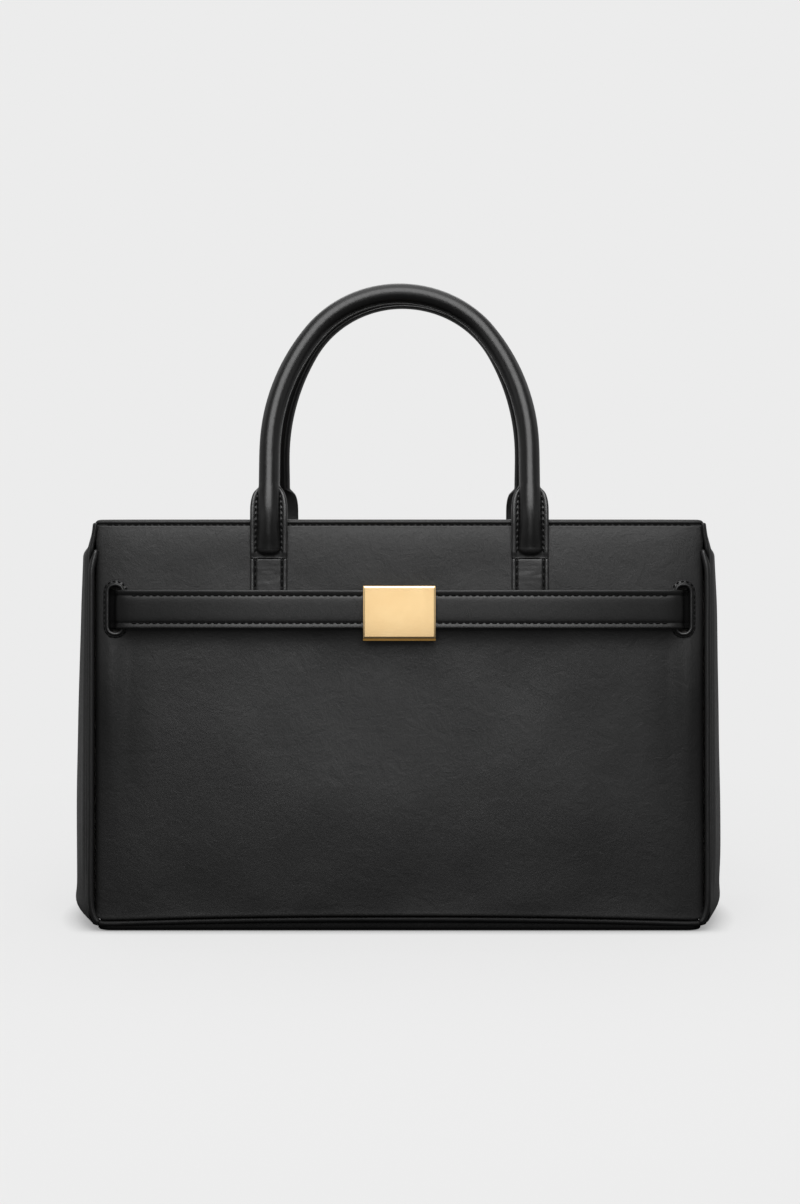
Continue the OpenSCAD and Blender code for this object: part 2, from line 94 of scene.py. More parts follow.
# Belt
BELT_H = 161.0
BELT_HALF = 9.8
SLOT_X = 142.3
SLOT_HALF_W, SLOT_HALF_H, SLOT_R = 3.2, 11.6, 2.9

# Length, width and height of the stitches, and the pitches of their rows
PANEL_STITCH, FACING_STITCH, BELT_STITCH = (2.6, 0.85, 0.6), (2.4, 0.65, 0.5), (2.6, 0.85, 0.6)
TAB_STITCH, LOWER_TAB_STITCH, RING_STITCH = (2.3, 0.85, 0.7), (2.7, 1.05, 0.8), (1.9, 0.9, 0.6)
TAB_PITCH, LOWER_TAB_PITCH, BELT_PITCH, RING_PITCH = 2.9, 3.5, 3.4, 2.6


def mix(a, b, t):
    return a + (b - a) * t


def steps(start, stop, count):
    """start, stop and the places between them that make count even steps."""
    return [mix(start, stop, i / count) for i in range(count + 1)]


def both_ways(end, middle=()):
    """The places of an end on both sides of 0, with the middle ones between."""
    return [-x for x in reversed(end)] + list(middle) + end


def clamp(t):
    return max(0.0, min(1.0, t))


def ease(t):
    t = clamp(t)
    return t * t * (3 - 2 * t)


def hump(t, centre, width):
    """1 at the centre, dying away on both sides of it."""
    return math.exp(-(((t - centre) / width) ** 2))


def look_up(table, t):
    """Value at t of a table of (place, value) pairs, straight between them."""
    for (a, va), (b, vb) in zip(table, table[1:]):
        if t <= b:
            return mix(va, vb, clamp((t - a) / (b - a)))
    return table[-1][1]


def wander(x, y, seed, size):
    """A slow, smooth unevenness between about -0.5 and 0.5."""
    return noise.noise(Vector((x / size, y / size, seed * 3.7)))


# Material helpers

def feed(tree, node, inputs):
    """Sets each input of a node to a plain value, or to another node's output."""
    for key, value in inputs.items():
        if isinstance(value, bpy.types.NodeSocket):
            tree.links.new(value, node.inputs[key])
        else:
            node.inputs[key].default_value = value
    return node


def add(tree, kind, inputs, **settings):
    made = tree.nodes.new("ShaderNode" + kind)
    for key, value in settings.items():
        setattr(made, key, value)
    return feed(tree, made, inputs)


def new_material(name):
    made = bpy.data.materials.new(name)
    made.use_nodes = True
    return made, made.node_tree, made.node_tree.nodes["Principled BSDF"]


def object_place(tree):
    return add(tree, "TexCoord", {}).outputs["Object"]


# Scales that draw a pattern out along the bag's width or along its height.
ALONG_WIDTH, ALONG_HEIGHT = (0.06, 1, 1), (1, 1, 0.06)


def pulled(tree, place, stretch):
    """Object coordinates drawn out, so that a pattern on them runs in one direction."""
    return add(tree, "Mapping", {"Vector": place, "Scale": stretch}).outputs["Vector"]


def mottle(tree, place, scale, detail=2.0, rough=0.55, distortion=0.0):
    return add(tree, "TexNoise", {"Vector": place, "Scale": scale, "Detail": detail, "Roughness": rough,
                                  "Distortion": distortion}).outputs["Fac"]


def compute(tree, operation, *values):
    return add(tree, "Math", dict(enumerate(values)), operation=operation).outputs["Value"]


def span(tree, value, start, end, low, high, rise="LINEAR"):
    """Takes start to end onto low to high, and holds low and high beyond them."""
    limits = {"Value": value, "From Min": start, "From Max": end, "To Min": low, "To Max": high}
    return add(tree, "MapRange", limits, interpolation_type=rise).outputs["Result"]


def ramp(tree, source, *stops):
    made = add(tree, "ValToRGB", {"Fac": source})
    ends = made.color_ramp.elements
    for end, (place, colour) in zip(ends, (stops[0], stops[-1])):
        end.position, end.color = place, colour
    for place, colour in stops[1:-1]:
        ends.new(place).color = colour
    return made.outputs["Color"]


def relief(tree, height, strength, distance, under=None):
    inputs = {"Height": height, "Strength": strength, "Distance": distance}
    if under is not None:
        inputs["Normal"] = under
    return add(tree, "Bump", inputs).outputs["Normal"]


def grey(value, warmth=0.0):
    return (value * (1 + warmth), value, value * (1 - warmth), 1)


# Materials

def leather(name, dark, light, gloss, grain=0.16, shine=0.47, creased=0.5):
    """Dyed calf: a fine closed grain, pores, soft creases, a cloudy depth of colour and an uneven polish."""
    made, tree, shader = new_material(name)
    place = object_place(tree)
    cloud, fine = mottle(tree, place, 22, 4), mottle(tree, place, 900)
    cells = add(tree, "TexVoronoi", {"Vector": place, "Scale": 1500}, feature="DISTANCE_TO_EDGE")
    skin = compute(tree, "MULTIPLY_ADD", cells.outputs["Distance"], 0.6, fine)
    soft = relief(tree, mottle(tree, place, 95, 4, 0.6, 0.8), creased, 0.0003)
    feed(tree, shader, {
        "Base Color": ramp(tree, cloud, (0.3, dark), (0.72, light)),
        "Roughness": span(tree, fine, 0.3, 0.75, gloss - 0.04, gloss + 0.06),
        "Specular IOR Level": shine,
        "Normal": relief(tree, skin, grain, 0.0004, soft),
    })
    return made


def painted_side_shade(made, aside, upright=()):
    """Paints shade on a leather toward the bag's two sides, by turning its shine down there.

    Each span of aside takes away a share of the shine, by the metres from the middle.
    Each span of upright scales what is taken away, by the height.
    """
    tree = made.node_tree
    shader = tree.nodes["Principled BSDF"]
    shine = shader.inputs["Specular IOR Level"].default_value
    axes = add(tree, "SeparateXYZ", {"Vector": object_place(tree)}).outputs
    away = compute(tree, "ABSOLUTE", axes["X"])
    painted_shade = span(tree, away, *aside[0], "SMOOTHSTEP")
    for limits in aside[1:]:
        painted_shade = compute(tree, "ADD", painted_shade, span(tree, away, *limits, "SMOOTHSTEP"))
    for limits in upright:
        painted_shade = compute(tree, "MULTIPLY", painted_shade, span(tree, axes["Z"], *limits, "SMOOTHSTEP"))
    feed(tree, shader, {"Specular IOR Level": compute(tree, "MULTIPLY_ADD", painted_shade, -shine, shine)})
    return made


def painted_edge(name, dark, light):
    """The lacquered cut edge of a strap: smooth, a little glossier than the grain side."""
    made, tree, shader = new_material(name)
    uneven = mottle(tree, object_place(tree), 260)
    feed(tree, shader, {
        "Base Color": ramp(tree, uneven, (0.3, dark), (0.75, light)),
        "Roughness": 0.36,
        "Normal": relief(tree, uneven, 0.1, 0.0005),
    })
    return made


def thread(name, dark, light):
    """Waxed twisted thread."""
    made, tree, shader = new_material(name)
    wave = {"Vector": object_place(tree), "Scale": 900, "Distortion": 1.5}
    twist = add(tree, "TexWave", wave, wave_type="BANDS", bands_direction="DIAGONAL").outputs["Fac"]
    feed(tree, shader, {
        "Base Color": ramp(tree, twist, (0.2, dark), (0.8, light)),
        "Roughness": 0.8,
        "Specular IOR Level": 0.1,
        "Normal": relief(tree, twist, 0.3, 0.0001),
    })
    return made


def woven(name, dark, light, pitch, rough=0.85):
    """Cloth of uneven yarns about pitch metres apart: one run of them level, the other upright."""
    made, tree, shader = new_material(name)
    place = object_place(tree)
    level = mottle(tree, pulled(tree, place, ALONG_WIDTH), 1 / pitch)
    upright = mottle(tree, pulled(tree, place, ALONG_HEIGHT), 1 / pitch)
    weave = compute(tree, "MULTIPLY", level, upright)
    feed(tree, shader, {
        "Base Color": ramp(tree, weave, (0.15, dark), (0.36, light)),
        "Roughness": rough,
        "Normal": relief(tree, weave, 0.4, pitch * 0.3),
    })
    return made


def metal(name, dark, light, gloss, streak=0.04):
    """Plated metal with a fine satin brushing along the part's width."""
    made, tree, shader = new_material(name)
    place = object_place(tree)
    brush = mottle(tree, pulled(tree, place, ALONG_WIDTH), 2600)
    feed(tree, shader, {
        "Base Color": ramp(tree, mottle(tree, place, 120), (0.3, dark), (0.7, light)),
        "Metallic": 1,
        "Roughness": span(tree, brush, 0, 1, gloss - streak, gloss + streak),
        "Normal": relief(tree, brush, 0.015, 0.0001),
    })
    return made


BLACK_DYE = (grey(0.0025), grey(0.005))
HANDLE_DYE = (grey(0.003), grey(0.005))
PIPING_DYE = (grey(0.0025), grey(0.0045))
BELT_FINISH = {"gloss": 0.44, "grain": 0.12, "creased": 0.3}

# The panel and belt leathers carry painted shade toward the bag's sides, where their shine is turned down.
PANEL_LEATHER = painted_side_shade(leather("panel_calf", *BLACK_DYE, 0.48, creased=0.75),
                             [(0.06, 0.1, 0, 0.16), (0.118, 0.142, 0, 0.3)],
                             [(0.045, 0.1, 0.3, 1), (0.108, 0.15, 1, 0)])
# The gusset leather has less shine than the panel's: painted shade on the gussets.
GUSSET_LEATHER_PAINTED_SHADE = leather("gusset_calf_painted_shade", *BLACK_DYE, 0.5, shine=0.4)
HANDLE_LEATHER = leather("handle_calf", *HANDLE_DYE, 0.32, 0.07, creased=0.15)
# The tab leather is the handle leather with more shine: a painted sheen on the tab wings, the roll's toe and
# the lower tabs' rims.
TAB_LEATHER_PAINTED_SHEEN = leather("tab_calf_painted_sheen", *HANDLE_DYE, 0.4, 0.1, 0.75, 0.2)
RING_LEATHER = leather("ring_calf", *BLACK_DYE, **BELT_FINISH)
BELT_LEATHER = painted_side_shade(leather("belt_calf", *BLACK_DYE, **BELT_FINISH), [(0.05, 0.14, 0, 0.5)])
PIPING_LEATHER = leather("piping_calf", *PIPING_DYE, 0.36, 0.08, creased=0.2)
# The bottom piping's leather is rougher and has less shine than the side piping's: painted shade under the
# panel's foot.
HEM_PIPING_PAINTED_SHADE = leather("hem_piping_calf_painted_shade", *PIPING_DYE, 0.55, 0.1, 0.18, 0.2)
# The base leather is darker and has almost no shine: painted shade for the band under the bottom piping.
BASE_LEATHER_PAINTED_SHADE = leather("base_calf_painted_shade", grey(0.0015), grey(0.003), 0.7, 0.2, 0.08, 0.2)
# Near-black leather with almost no shine for the belt's tail behind the panel: painted shade.
BELT_TAIL_PAINTED_SHADE = leather("belt_tail_painted_shade", grey(0.002), grey(0.004), 0.85, 0.2, 0.05, 0.2)
EDGE_PAINT = painted_edge("edge_paint", grey(0.005), grey(0.010))
SEAM_EDGE = painted_edge("seam_edge", grey(0.012), grey(0.02))
THREAD = thread("waxed_thread", grey(0.002), grey(0.005))
LINING_CLOTH = woven("lining_cotton", grey(0.045, 0.06), grey(0.1, 0.06), 0.0007)
BACKING = woven("backing_felt", grey(0.02, 0.05), grey(0.045, 0.05), 0.0011, 0.95)
BOARD = woven("base_board_fibre", grey(0.015, 0.05), grey(0.03, 0.05), 0.002, 0.9)
GOLD = metal("satin_gold", (0.93, 0.65, 0.33, 1), (0.96, 0.69, 0.36, 1), 0.17, 0.015)
# The clasp's base plate and magnet are the gold made dark: painted shade on the lip recessed under the
# cover.
BASE_GOLD_PAINTED_SHADE = metal("base_gold_painted_shade", (0.22, 0.12, 0.03, 1), (0.27, 0.15, 0.04, 1), 0.24, 0.02)
STEEL = metal("plain_steel", grey(0.42), grey(0.55), 0.35)


# Mesh helpers

def ring_edges(bm, ring):
    return [bm.edges.get((a, b)) for a, b in zip(ring, ring[1:] + ring[:1])]


def next_ring(bm, ring, places):
    """Extrudes a closed ring of vertices and sets the new one down at its places, in the same order."""
    made = bmesh.ops.extrude_edge_only(bm, edges=ring_edges(bm, ring))["geom"]
    fresh = {v for v in made if isinstance(v, bmesh.types.BMVert)}
    following = [next(e.other_vert(v) for e in v.link_edges if e.other_vert(v) in fresh) for v in ring]
    for v, p in zip(following, places):
        v.co = p
    return following


def swept(bm, rings, material_of=None, joined=False, filled_ends=2):
    """A skin over rings of points: each ring is extruded from the one before it.

    The last ring is joined to the first, or else the first end or both are filled.
    """
    start = list(bmesh.ops.create_circle(bm, cap_ends=False, radius=1, segments=len(rings[0]))["verts"])
    for v, p in zip(start, rings[0]):
        v.co = p
    ring, count = start, len(start)
    for index, places in enumerate(rings[1:]):
        following = next_ring(bm, ring, places)
        for k in range(count if material_of else 0):
            j = (k + 1) % count
            corners = {ring[k], ring[j], following[k], following[j]}
            face = next(f for f in ring[k].link_faces if set(f.verts) == corners)
            face.material_index = material_of(index, k)
        ring = following
    if joined:
        bmesh.ops.bridge_loops(bm, edges=ring_edges(bm, ring) + ring_edges(bm, start))
    else:
        for end in (start, ring)[:filled_ends]:
            bmesh.ops.edgeloop_fill(bm, edges=ring_edges(bm, end))


def sheet(bm, columns, rows, place):
    """A grid with a vertex for each column and row, each set down where place(column, row) says."""
    made = bmesh.ops.create_grid(bm, x_segments=len(columns) - 1, y_segments=len(rows) - 1, size=1)["verts"]
    across = sorted({round(v.co.x, 5) for v in made})
    along = sorted({round(v.co.y, 5) for v in made})
    table = {}
    for v in made:
        i, j = across.index(round(v.co.x, 5)), along.index(round(v.co.y, 5))
        v.co = place(columns[i], rows[j])
        table[i, j] = v
    return table


def round_ring(centre, across, out, radius):
    turns = steps(0, 2 * math.pi, 12)[:-1]
    return [centre + (across * math.cos(a) + out * math.sin(a)) * radius for a in turns]


def round_rectangle(w, h, r, across_steps, upright_steps):
    """(x, y, outward x, outward y) round a rectangle of half sizes w and h, with corners of radius r."""
    corners = ((1, 1), (-1, 1), (-1, -1), (1, -1))
    loop = []
    for quarter, (cx, cy) in enumerate(corners):
        for a in steps(math.pi / 2 * quarter, math.pi / 2 * (quarter + 1), 6):
            nx, ny = math.cos(a), math.sin(a)
            loop.append((cx * (w - r) + r * nx, cy * (h - r) + r * ny, nx, ny))
        to_x, to_y = corners[(quarter + 1) % 4]
        for t in steps(0, 1, (across_steps, upright_steps)[quarter % 2])[1:-1]:
            loop.append((mix(cx, to_x, t) * (w - r) + r * nx, mix(cy, to_y, t) * (h - r) + r * ny, nx, ny))
    return loop


def round_corner(x, y, half, edge, radius, up):
    """Moves a point near the corner at (half or -half, edge) onto a round one; up is -1 for a lower edge.

    The third value says how deep in the corner it is, from 0 to 1.
    """
    u, v = (abs(x) - half + radius) / radius, (up * (y - edge) + radius) / radius
    if u <= 0 or v <= 0:
        return x, y, 0.0
    u, v = min(u, 1), min(v, 1)
    x = math.copysign(half - radius + radius * u * math.sqrt(1 - v * v / 2), x)
    return x, edge + up * radius * (v * math.sqrt(1 - u * u / 2) - 1), u * v


def stitch(bm, middle, along, out, size):
    """One short stitch, rounded at both ends; size is its length, width and height."""
    across = out.cross(along).normalized()
    ways = (along.normalized(), across, out.normalized())
    turn = Matrix([way * extent / 2 for way, extent in zip(ways, size)]).transposed().to_4x4()
    place = Matrix.Translation(middle) @ turn @ Matrix.Rotation(math.pi / 2, 4, "Y")
    bmesh.ops.create_uvsphere(bm, u_segments=8, v_segments=5, radius=1, matrix=place)


def stitch_row(bm, path, pitch, size, slant=0.0):
    """Stitches along a path of (point, out) pairs."""
    spent, want = 0.0, pitch / 2
    for (a, out_a), (b, out_b) in zip(path, path[1:]):
        run = (b - a).length
        while run > 1e-6 and want <= spent + run:
            t = (want - spent) / run
            out = out_a.lerp(out_b, t).normalized()
            along = (b - a).normalized()
            along = (along + out.cross(along) * slant).normalized()
            stitch(bm, a.lerp(b, t), along, out, size)
            want += pitch
        spent += run


def face_away(bm, sign=1):
    """Turns an open sheet's normals away from the bag's middle, or towards it where sign is -1."""
    middle = Vector((0, 0, 100))
    bmesh.ops.recalc_face_normals(bm, faces=bm.faces)
    if sign * sum(f.normal.dot(f.calc_center_median() - middle) * f.calc_area() for f in bm.faces) < 0:
        bmesh.ops.reverse_faces(bm, faces=bm.faces)


def finish_piece(name, bm, materials, replaced=(), body="bag", bend=None, wall=0.0, even=True, smooth=0,
                 sharp=0.0, turned=False):
    """Scales the mesh to metres, makes the object and ties it to its body, or for a bending piece only bakes
    its place, and hides the CAD nodes it replaces.
    """
    if not turned:
        bmesh.ops.recalc_face_normals(bm, faces=bm.faces)
    bmesh.ops.scale(bm, vec=(MM, MM, MM), verts=bm.verts)
    mesh = bpy.data.meshes.new(name)
    bm.to_mesh(mesh)
    bm.free()
    for material in materials:
        mesh.materials.append(material)
    mesh.shade_smooth()
    if sharp:
        mesh.set_sharp_from_angle(angle=math.radians(sharp))
    made = bpy.data.objects.new(name, mesh)
    bpy.context.scene.collection.objects.link(made)
    if wall:
        solid = made.modifiers.new("wall", "SOLIDIFY")
        solid.thickness = wall * MM
        solid.offset = -1
        solid.use_even_offset = even
    if smooth:
        round_off = made.modifiers.new("round", "SUBSURF")
        round_off.levels = round_off.render_levels = smooth
    if bend:
        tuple(bend[2])
        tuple(bend[3])
        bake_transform(made)
    else:
        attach(made, body)
    if replaced:
        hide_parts(*replaced)


# The bag's own surfaces

CREST_H, CREST_RISE = 70, 36
FULLNESS, CREST_SOFT, CREST_REACH = 2.5, 0.25, 1.031
PINCH, PINCH_END = 2.8, 18


def panel_swell(x, up):
    """How far the filled panel stands out of its flat cut: fullest low down, and higher up at its sides."""
    aside = abs(x) / PANEL_HALF
    across = max(0.0, 1 - aside ** 4) ** 0.8
    crest = CREST_H + CREST_RISE * aside ** 1.3
    t = (up - crest) / (SLANT_H - crest) if up > crest else (crest - up) / (crest - PANEL_FOOT)
    low = FULLNESS * (CREST_REACH - math.hypot(clamp(t), CREST_SOFT)) / (CREST_REACH - CREST_SOFT)
    edge = clamp((SLANT_H - up) / 30) * clamp((up - PANEL_FOOT) / 12)
    uneven = 0.8 * wander(x, up, 2, 60) + 0.42 * wander(x, up, 7, 24)
    side = -2.8 * math.exp((abs(x) - PANEL_HALF) / 11.5)
    hem = -1.3 * math.exp(-max(0.0, STITCH_LINE - up) / 7)
    return across * (low + uneven * ease(edge)) + side + hem


def belt_pinch(x, up):
    """Below the belt the leather draws back a little, and comes out again further down."""
    below = BELT_H - BELT_HALF + 2 - up
    depth = PINCH * math.erf(max(0.0, below) / 8) * (1 - ease((below - PINCH_END) / 95))
    return -depth * ease((PANEL_HALF - 6 - abs(x)) / 12)


def on_panel(side, x, up, out):
    """A point on the front or back panel: across, up the panel, and out of its flat face."""
    depth = BASE_D / 2 + out * math.cos(TILT) - up * math.sin(TILT)
    return Vector((x, side * depth, up * math.cos(TILT) + out * math.sin(TILT)))


def rising(side, angle):
    return Vector((0, -side * math.sin(angle), math.cos(angle)))


def facing_out(side, angle=TILT):
    return Vector((0, side * math.cos(angle), math.sin(angle)))


def on_leather(side, x, up, out):
    pinch = belt_pinch(x, up) if side == FRONT else 0
    return on_panel(side, x, up, out + panel_swell(x, up) + pinch)


def half_depth(z):
    return mix(BASE_D, TOP_D, z / BODY_H) / 2


def foot_lift(x):
    """The bottom edge stands a little higher between the corners, and hangs a little lower at them."""
    return 0.85 - 2.3 * (abs(x) / 146) ** 2.4


TOP_SHIFT = {FRONT: 0.25, BACK: -0.7}


def top_shift(side, up):
    """The top edges are sewn a little above or below their CAD height."""
    return TOP_SHIFT[side] * ease((up - LUG_FOOT) / 13)


# Panels

COLUMNS = both_ways([i * STITCH_PITCH / 2 for i in range(1, 91)]
                    + [149.5, 150.4, 151.2, 151.8, 152.2, 152.45, 152.5, 152.55], [0.0])
# The two outermost columns go straight in behind the side edge, this deep.
EDGE_DEPTH = {152.5: 1.2, 152.55: 2.6}
SLOT_COLUMNS = (84 * STITCH_PITCH / 2, 88 * STITCH_PITCH / 2)
SLOT_ROWS = (BELT_H - SLOT_HALF_H, BELT_H + SLOT_HALF_H)
FACE_ROWS = [11, 14, 18, 24, 32, 42, 54, 66, 78, 90, 102, 114, 122, 129, 134, 138, 141, 143.5, 145.5, 147.5,
             SLOT_ROWS[0], 150.9, 152.6, 155, 158, 161, 164, 168, 170.4, SLOT_ROWS[1],
             175.5, 179, 182.5, 186, 189, LUG_FOOT, 194, 196.5, SLANT_H - 7, 200.4]
# How far above the panel's foot or its top edge, and how far out of its flat face.
FOOT_ROWS = [(0.1, -4.4), (0.0, -3.2), (0.0, -2.2), (0.03, -1.2), (0.2, -0.4), (0.6, 0.05), (1.4, 0.12),
             (2.8, 0.0)]
TOP_ROWS = [(-3.9, 0.0), (-3.35, 0.1), (-2.95, -0.1), (-2.6, -0.6), (-2.25, -0.35), (-1.9, 0.12),
            (-1.2, 0.25), (-0.55, 0.12), (-0.05, -0.3), (0.15, -1.1), (0.15, -2.6), (0.0, -3.9),
            (-0.5, -4.6), (-1.4, -4.85), (-3.5, -4.9)]
PANEL_ROWS = ([(PANEL_FOOT + up, out) for up, out in FOOT_ROWS] + [(up, 0.0) for up in FACE_ROWS]
              + [(SLANT_H + up, out) for up, out in TOP_ROWS])
FOOT_CORNER, TOP_CORNER = 5.5, 2.4
# The side edges roll off over this width, by this depth.
ROLL_OFF, ROLL_DEPTH = 3.9, 1.1


def slot_openings(table):
    """Sets the grid's vertices round the two belt slots on their rims, and gives those inside the slots."""
    ups = [row[0] for row in PANEL_ROWS]
    low, high = (ups.index(up) for up in SLOT_ROWS)
    inner, outer = SLOT_COLUMNS
    inside = []
    for i, x in enumerate(COLUMNS):
        if not inner - 0.01 <= abs(x) <= outer + 0.01:
            continue
        for j in range(low, high + 1):
            if low < j < high and inner + 0.01 < abs(x) < outer - 0.01:
                inside.append(table[i, j])
                continue
            dx = (abs(x) - (inner + outer) / 2) / (outer - inner) * 2 * SLOT_HALF_W
            dy = ups[j] - BELT_H
            up = math.copysign(1, dy)
            dx, dy, _ = round_corner(dx, dy, SLOT_HALF_W, up * SLOT_HALF_H, SLOT_R, up)
            table[i, j].co = on_leather(FRONT, math.copysign(SLOT_X + dx, x), BELT_H + dy, 0)
    return inside


def panel_piece(side):
    name = SIDES[side]
    bm = bmesh.new()

    def place(x, row):
        row_up, row_out = row
        wide = round(abs(x), 2)
        lug = 1 + LUG / PANEL_HALF * ease((row_up - LUG_FOOT) / LUG_H) if wide > 100 else 1
        flat_top = ease((row_up - LUG_FOOT + 3) / 6)
        x, up, corner = round_corner(x, row_up, PANEL_HALF, PANEL_FOOT, FOOT_CORNER, -1)
        x, up, _ = round_corner(x, up, PANEL_HALF, SLANT_H, TOP_CORNER, 1)
        t = clamp((abs(x) - PANEL_HALF + ROLL_OFF) / ROLL_OFF)
        rolled = ROLL_DEPTH * (1 - math.sqrt(1 - t * t)) * (1 - 0.75 * flat_top)
        turned_over = clamp(-row_out / 3) if row_up > SLANT_H - 4 else 0
        out = row_out - rolled * (1 - corner) - EDGE_DEPTH.get(wide, 0) * (1 - turned_over)
        if -3.2 < row_up - SLANT_H < -2.0 and abs(x) < 148 and row_out < -0.1:
            # The thread draws the stitched line in, hole by hole.
            out += 0.22 * math.sin(math.pi * x / STITCH_PITCH * 2 + 0.6)
        up += top_shift(side, row_up) + foot_lift(x) * (1 - ease((row_up - PANEL_FOOT) / 30))
        return on_leather(side, x * lug, up, out)

    table = sheet(bm, COLUMNS, PANEL_ROWS, place)
    if side == FRONT:
        bmesh.ops.delete(bm, geom=slot_openings(table), context="VERTS")
    face_away(bm)
    finish_piece(f"{name}_panel_leather", bm, [PANEL_LEATHER], [f"{name}_panel"],
                 smooth=1, wall=PANEL_WALL, even=False, turned=True)


def panel_stitches(side):
    """The row that holds the folded top edge."""
    bm = bmesh.new()
    up = STITCH_LINE + top_shift(side, STITCH_LINE)
    path = [(on_leather(side, x, up, -0.15), facing_out(side)) for x in steps(-147, 147, 147)]
    stitch_row(bm, path, STITCH_PITCH, PANEL_STITCH)
    finish_piece(f"{SIDES[side]}_top_stitches", bm, [THREAD])


# Gussets

SEAM_TURN = 0.06


def folded(z):
    return ease((z - BODY_H + FOLD_H) / FOLD_H)


def gusset_x(u, z):
    """Half width of the bag on a gusset, u from -1 at the front seam to 1 at the back one."""
    low = clamp((z - GUSSET_FOOT) / FOOT_ROUND_H)
    curl = clamp((z - GUSSET_FOOT) / CURL_R)
    out = look_up(BELLY_AT, z) * math.sqrt(max(0.0, 1 - (1 - low) ** 2))
    swell = out * (1 - folded(z)) - TUCK * folded(z)
    curled = CURL_R * (1 - math.sqrt(max(0.0, 1 - (1 - curl) ** 2)))
    return GUSSET_EDGE_X - 2.2 * folded(z) - curled + swell * (1 - u * u)


def gusset_piece(hand):
    name = HANDS[hand]
    bm = bmesh.new()
    columns = both_ways([1.02, 1.04, 1.06], [math.sin(math.pi / 2 * (i / 22 - 1)) for i in range(45)])
    rows = [GUSSET_FOOT + 18 * (1 - math.cos(math.pi / 2 * i / 8)) for i in range(8)]
    rows += steps(21, 184, 15)[:-1] + steps(184, GUSSET_TOP, 12)

    def place(u, z):
        aside, y = abs(u), u * (half_depth(z) - GUSSET_INSET)
        if aside > 1:
            # The edge turns round the piping, less where the panel covers it.
            turn = (aside - 1) / SEAM_TURN * math.pi / 2
            forward = 0.3 + 0.7 * ease((z - 184) / 7)
            y = half_depth(z) - GUSSET_INSET + 3.4 * math.sin(turn) * forward
            x = gusset_x(1, z) - 2.2 * (1 - math.cos(turn)) * forward
            return Vector((hand * x, math.copysign(y, u), z))
        crease = (1.3 * hump(u, 0, 0.12) - 0.8 * hump(aside, 0.55, 0.2)) * folded(z)
        sag = (0.7 * wander(u * 60, z, 5 + hand, 45) - 0.35 * hand) * (1 - u * u)
        foot = 1.3 * hump(z, 8, 4.5) if hand == LEFT else -hump(z, 18, 9)
        ridge = 0.75 * hump(aside, 0.962, 0.016) - 0.75 * hump(aside, 0.9, 0.028)
        ridge += 0.5 * hump(aside, 0.82, 0.03)
        x = gusset_x(u, z) - crease + sag + foot * (1 - u ** 6) + ridge * clamp((z - 14) / 20)
        return Vector((hand * x, y, z))

    sheet(bm, columns, rows, place)
    face_away(bm)
    finish_piece(f"{name}_gusset_leather", bm, [GUSSET_LEATHER_PAINTED_SHADE], [f"{name}_gusset"],
                 smooth=1, wall=GUSSET_WALL, turned=True)


# Piping

SIDE_PIPING_R, HEM_PIPING_R = 1.7, 1.5


def piping_piece(name, points, out, radius, material):
    """A round cord of leather along a path, rounded off over its last three points at both ends."""
    last, rings = len(points) - 1, []
    for i, p in enumerate(points):
        tangent = (points[min(i + 1, last)] - points[max(i - 1, 0)]).normalized()
        across = tangent.cross(out).normalized()
        share = math.sin(math.pi / 2 * clamp((min(i, last - i) + 0.35) / 3))
        rings.append(round_ring(p, across, across.cross(tangent).normalized(), radius * share))
    bm = bmesh.new()
    swept(bm, rings)
    finish_piece(f"{name}_leather", bm, [material], [name], smooth=1)


def side_piping(side, hand):
    """Piping between a panel and a gusset: in under the panel at its top, round the corner at its foot."""
    ups = [191.2, 190.9, 190.3, 189, 187, 184.5, 181, 176, 168, 155, 140, 120, 100, 80, 60, 45, 34, 26, 20,
           16, 13, 10.5, 8.6, 7.2, 6.2, 5.6, 5.3, 5.2]
    points = []
    for up in ups:
        top, foot = ease((up - 180) / 11.2), clamp((16 - up) / 10.8)
        x = 154.5 - 2.1 * top - 5.2 * (1 - math.sqrt(1 - foot * foot * 0.98))
        x += 0.15 * wander(up, side, 3 + hand, 30)
        points.append(on_panel(side, hand * x, up - 1.4 * foot, -1.9 - 1.0 * top - 0.3 * foot))
    name = f"{SIDES[side]}_{HANDS[hand]}_piping"
    piping_piece(name, points, facing_out(side), SIDE_PIPING_R, PIPING_LEATHER)


def bottom_piping(side):
    end = [136, 142, 146, 149, 151, 152.4, 153.2, 153.5, 153.6]
    points = []
    for x in both_ways(end, steps(-128, 128, 32)):
        corner = clamp((abs(x) - 143) / 10.6) ** 3
        depth = BASE_D / 2 - 2.5 - 1.2 * corner
        points.append(Vector((x, side * depth, 4.8 + foot_lift(x) + 1.5 * corner)))
    piping_piece(f"{SIDES[side]}_bottom_piping", points, Vector((0, 0, 1)), HEM_PIPING_R, HEM_PIPING_PAINTED_SHADE)


# Base

def base_piece():
    """The base leather: flat below its board and turned up behind the bottom piping."""
    half_w, half_d, corner = 151.6, BASE_D / 2 - 1.6, 6.0
    levels = [(0.0, 3.2), (0.0, 1.5), (0.3, 0.7), (1.0, 0.2), (2.0, 0.1), (3.2, 0.5), (4.4, 1.0), (5.4, 1.5),
              (5.9, 2.0), (5.6, 2.5), (4.4, 3.0), (2.7, 3.4), (2.5, 5.0)]
    rings = []
    for z, inset in levels:
        loop = round_rectangle(half_w - inset, half_d - inset, corner, 8, 8)
        rings.append([Vector((x, y, z)) for x, y, _, _ in loop])
    bm = bmesh.new()
    swept(bm, rings)
    finish_piece("base_leather", bm, [BASE_LEATHER_PAINTED_SHADE], ["base_panel"])


# Inside

FACING_H, FACING_STITCHES = 34, 30.2


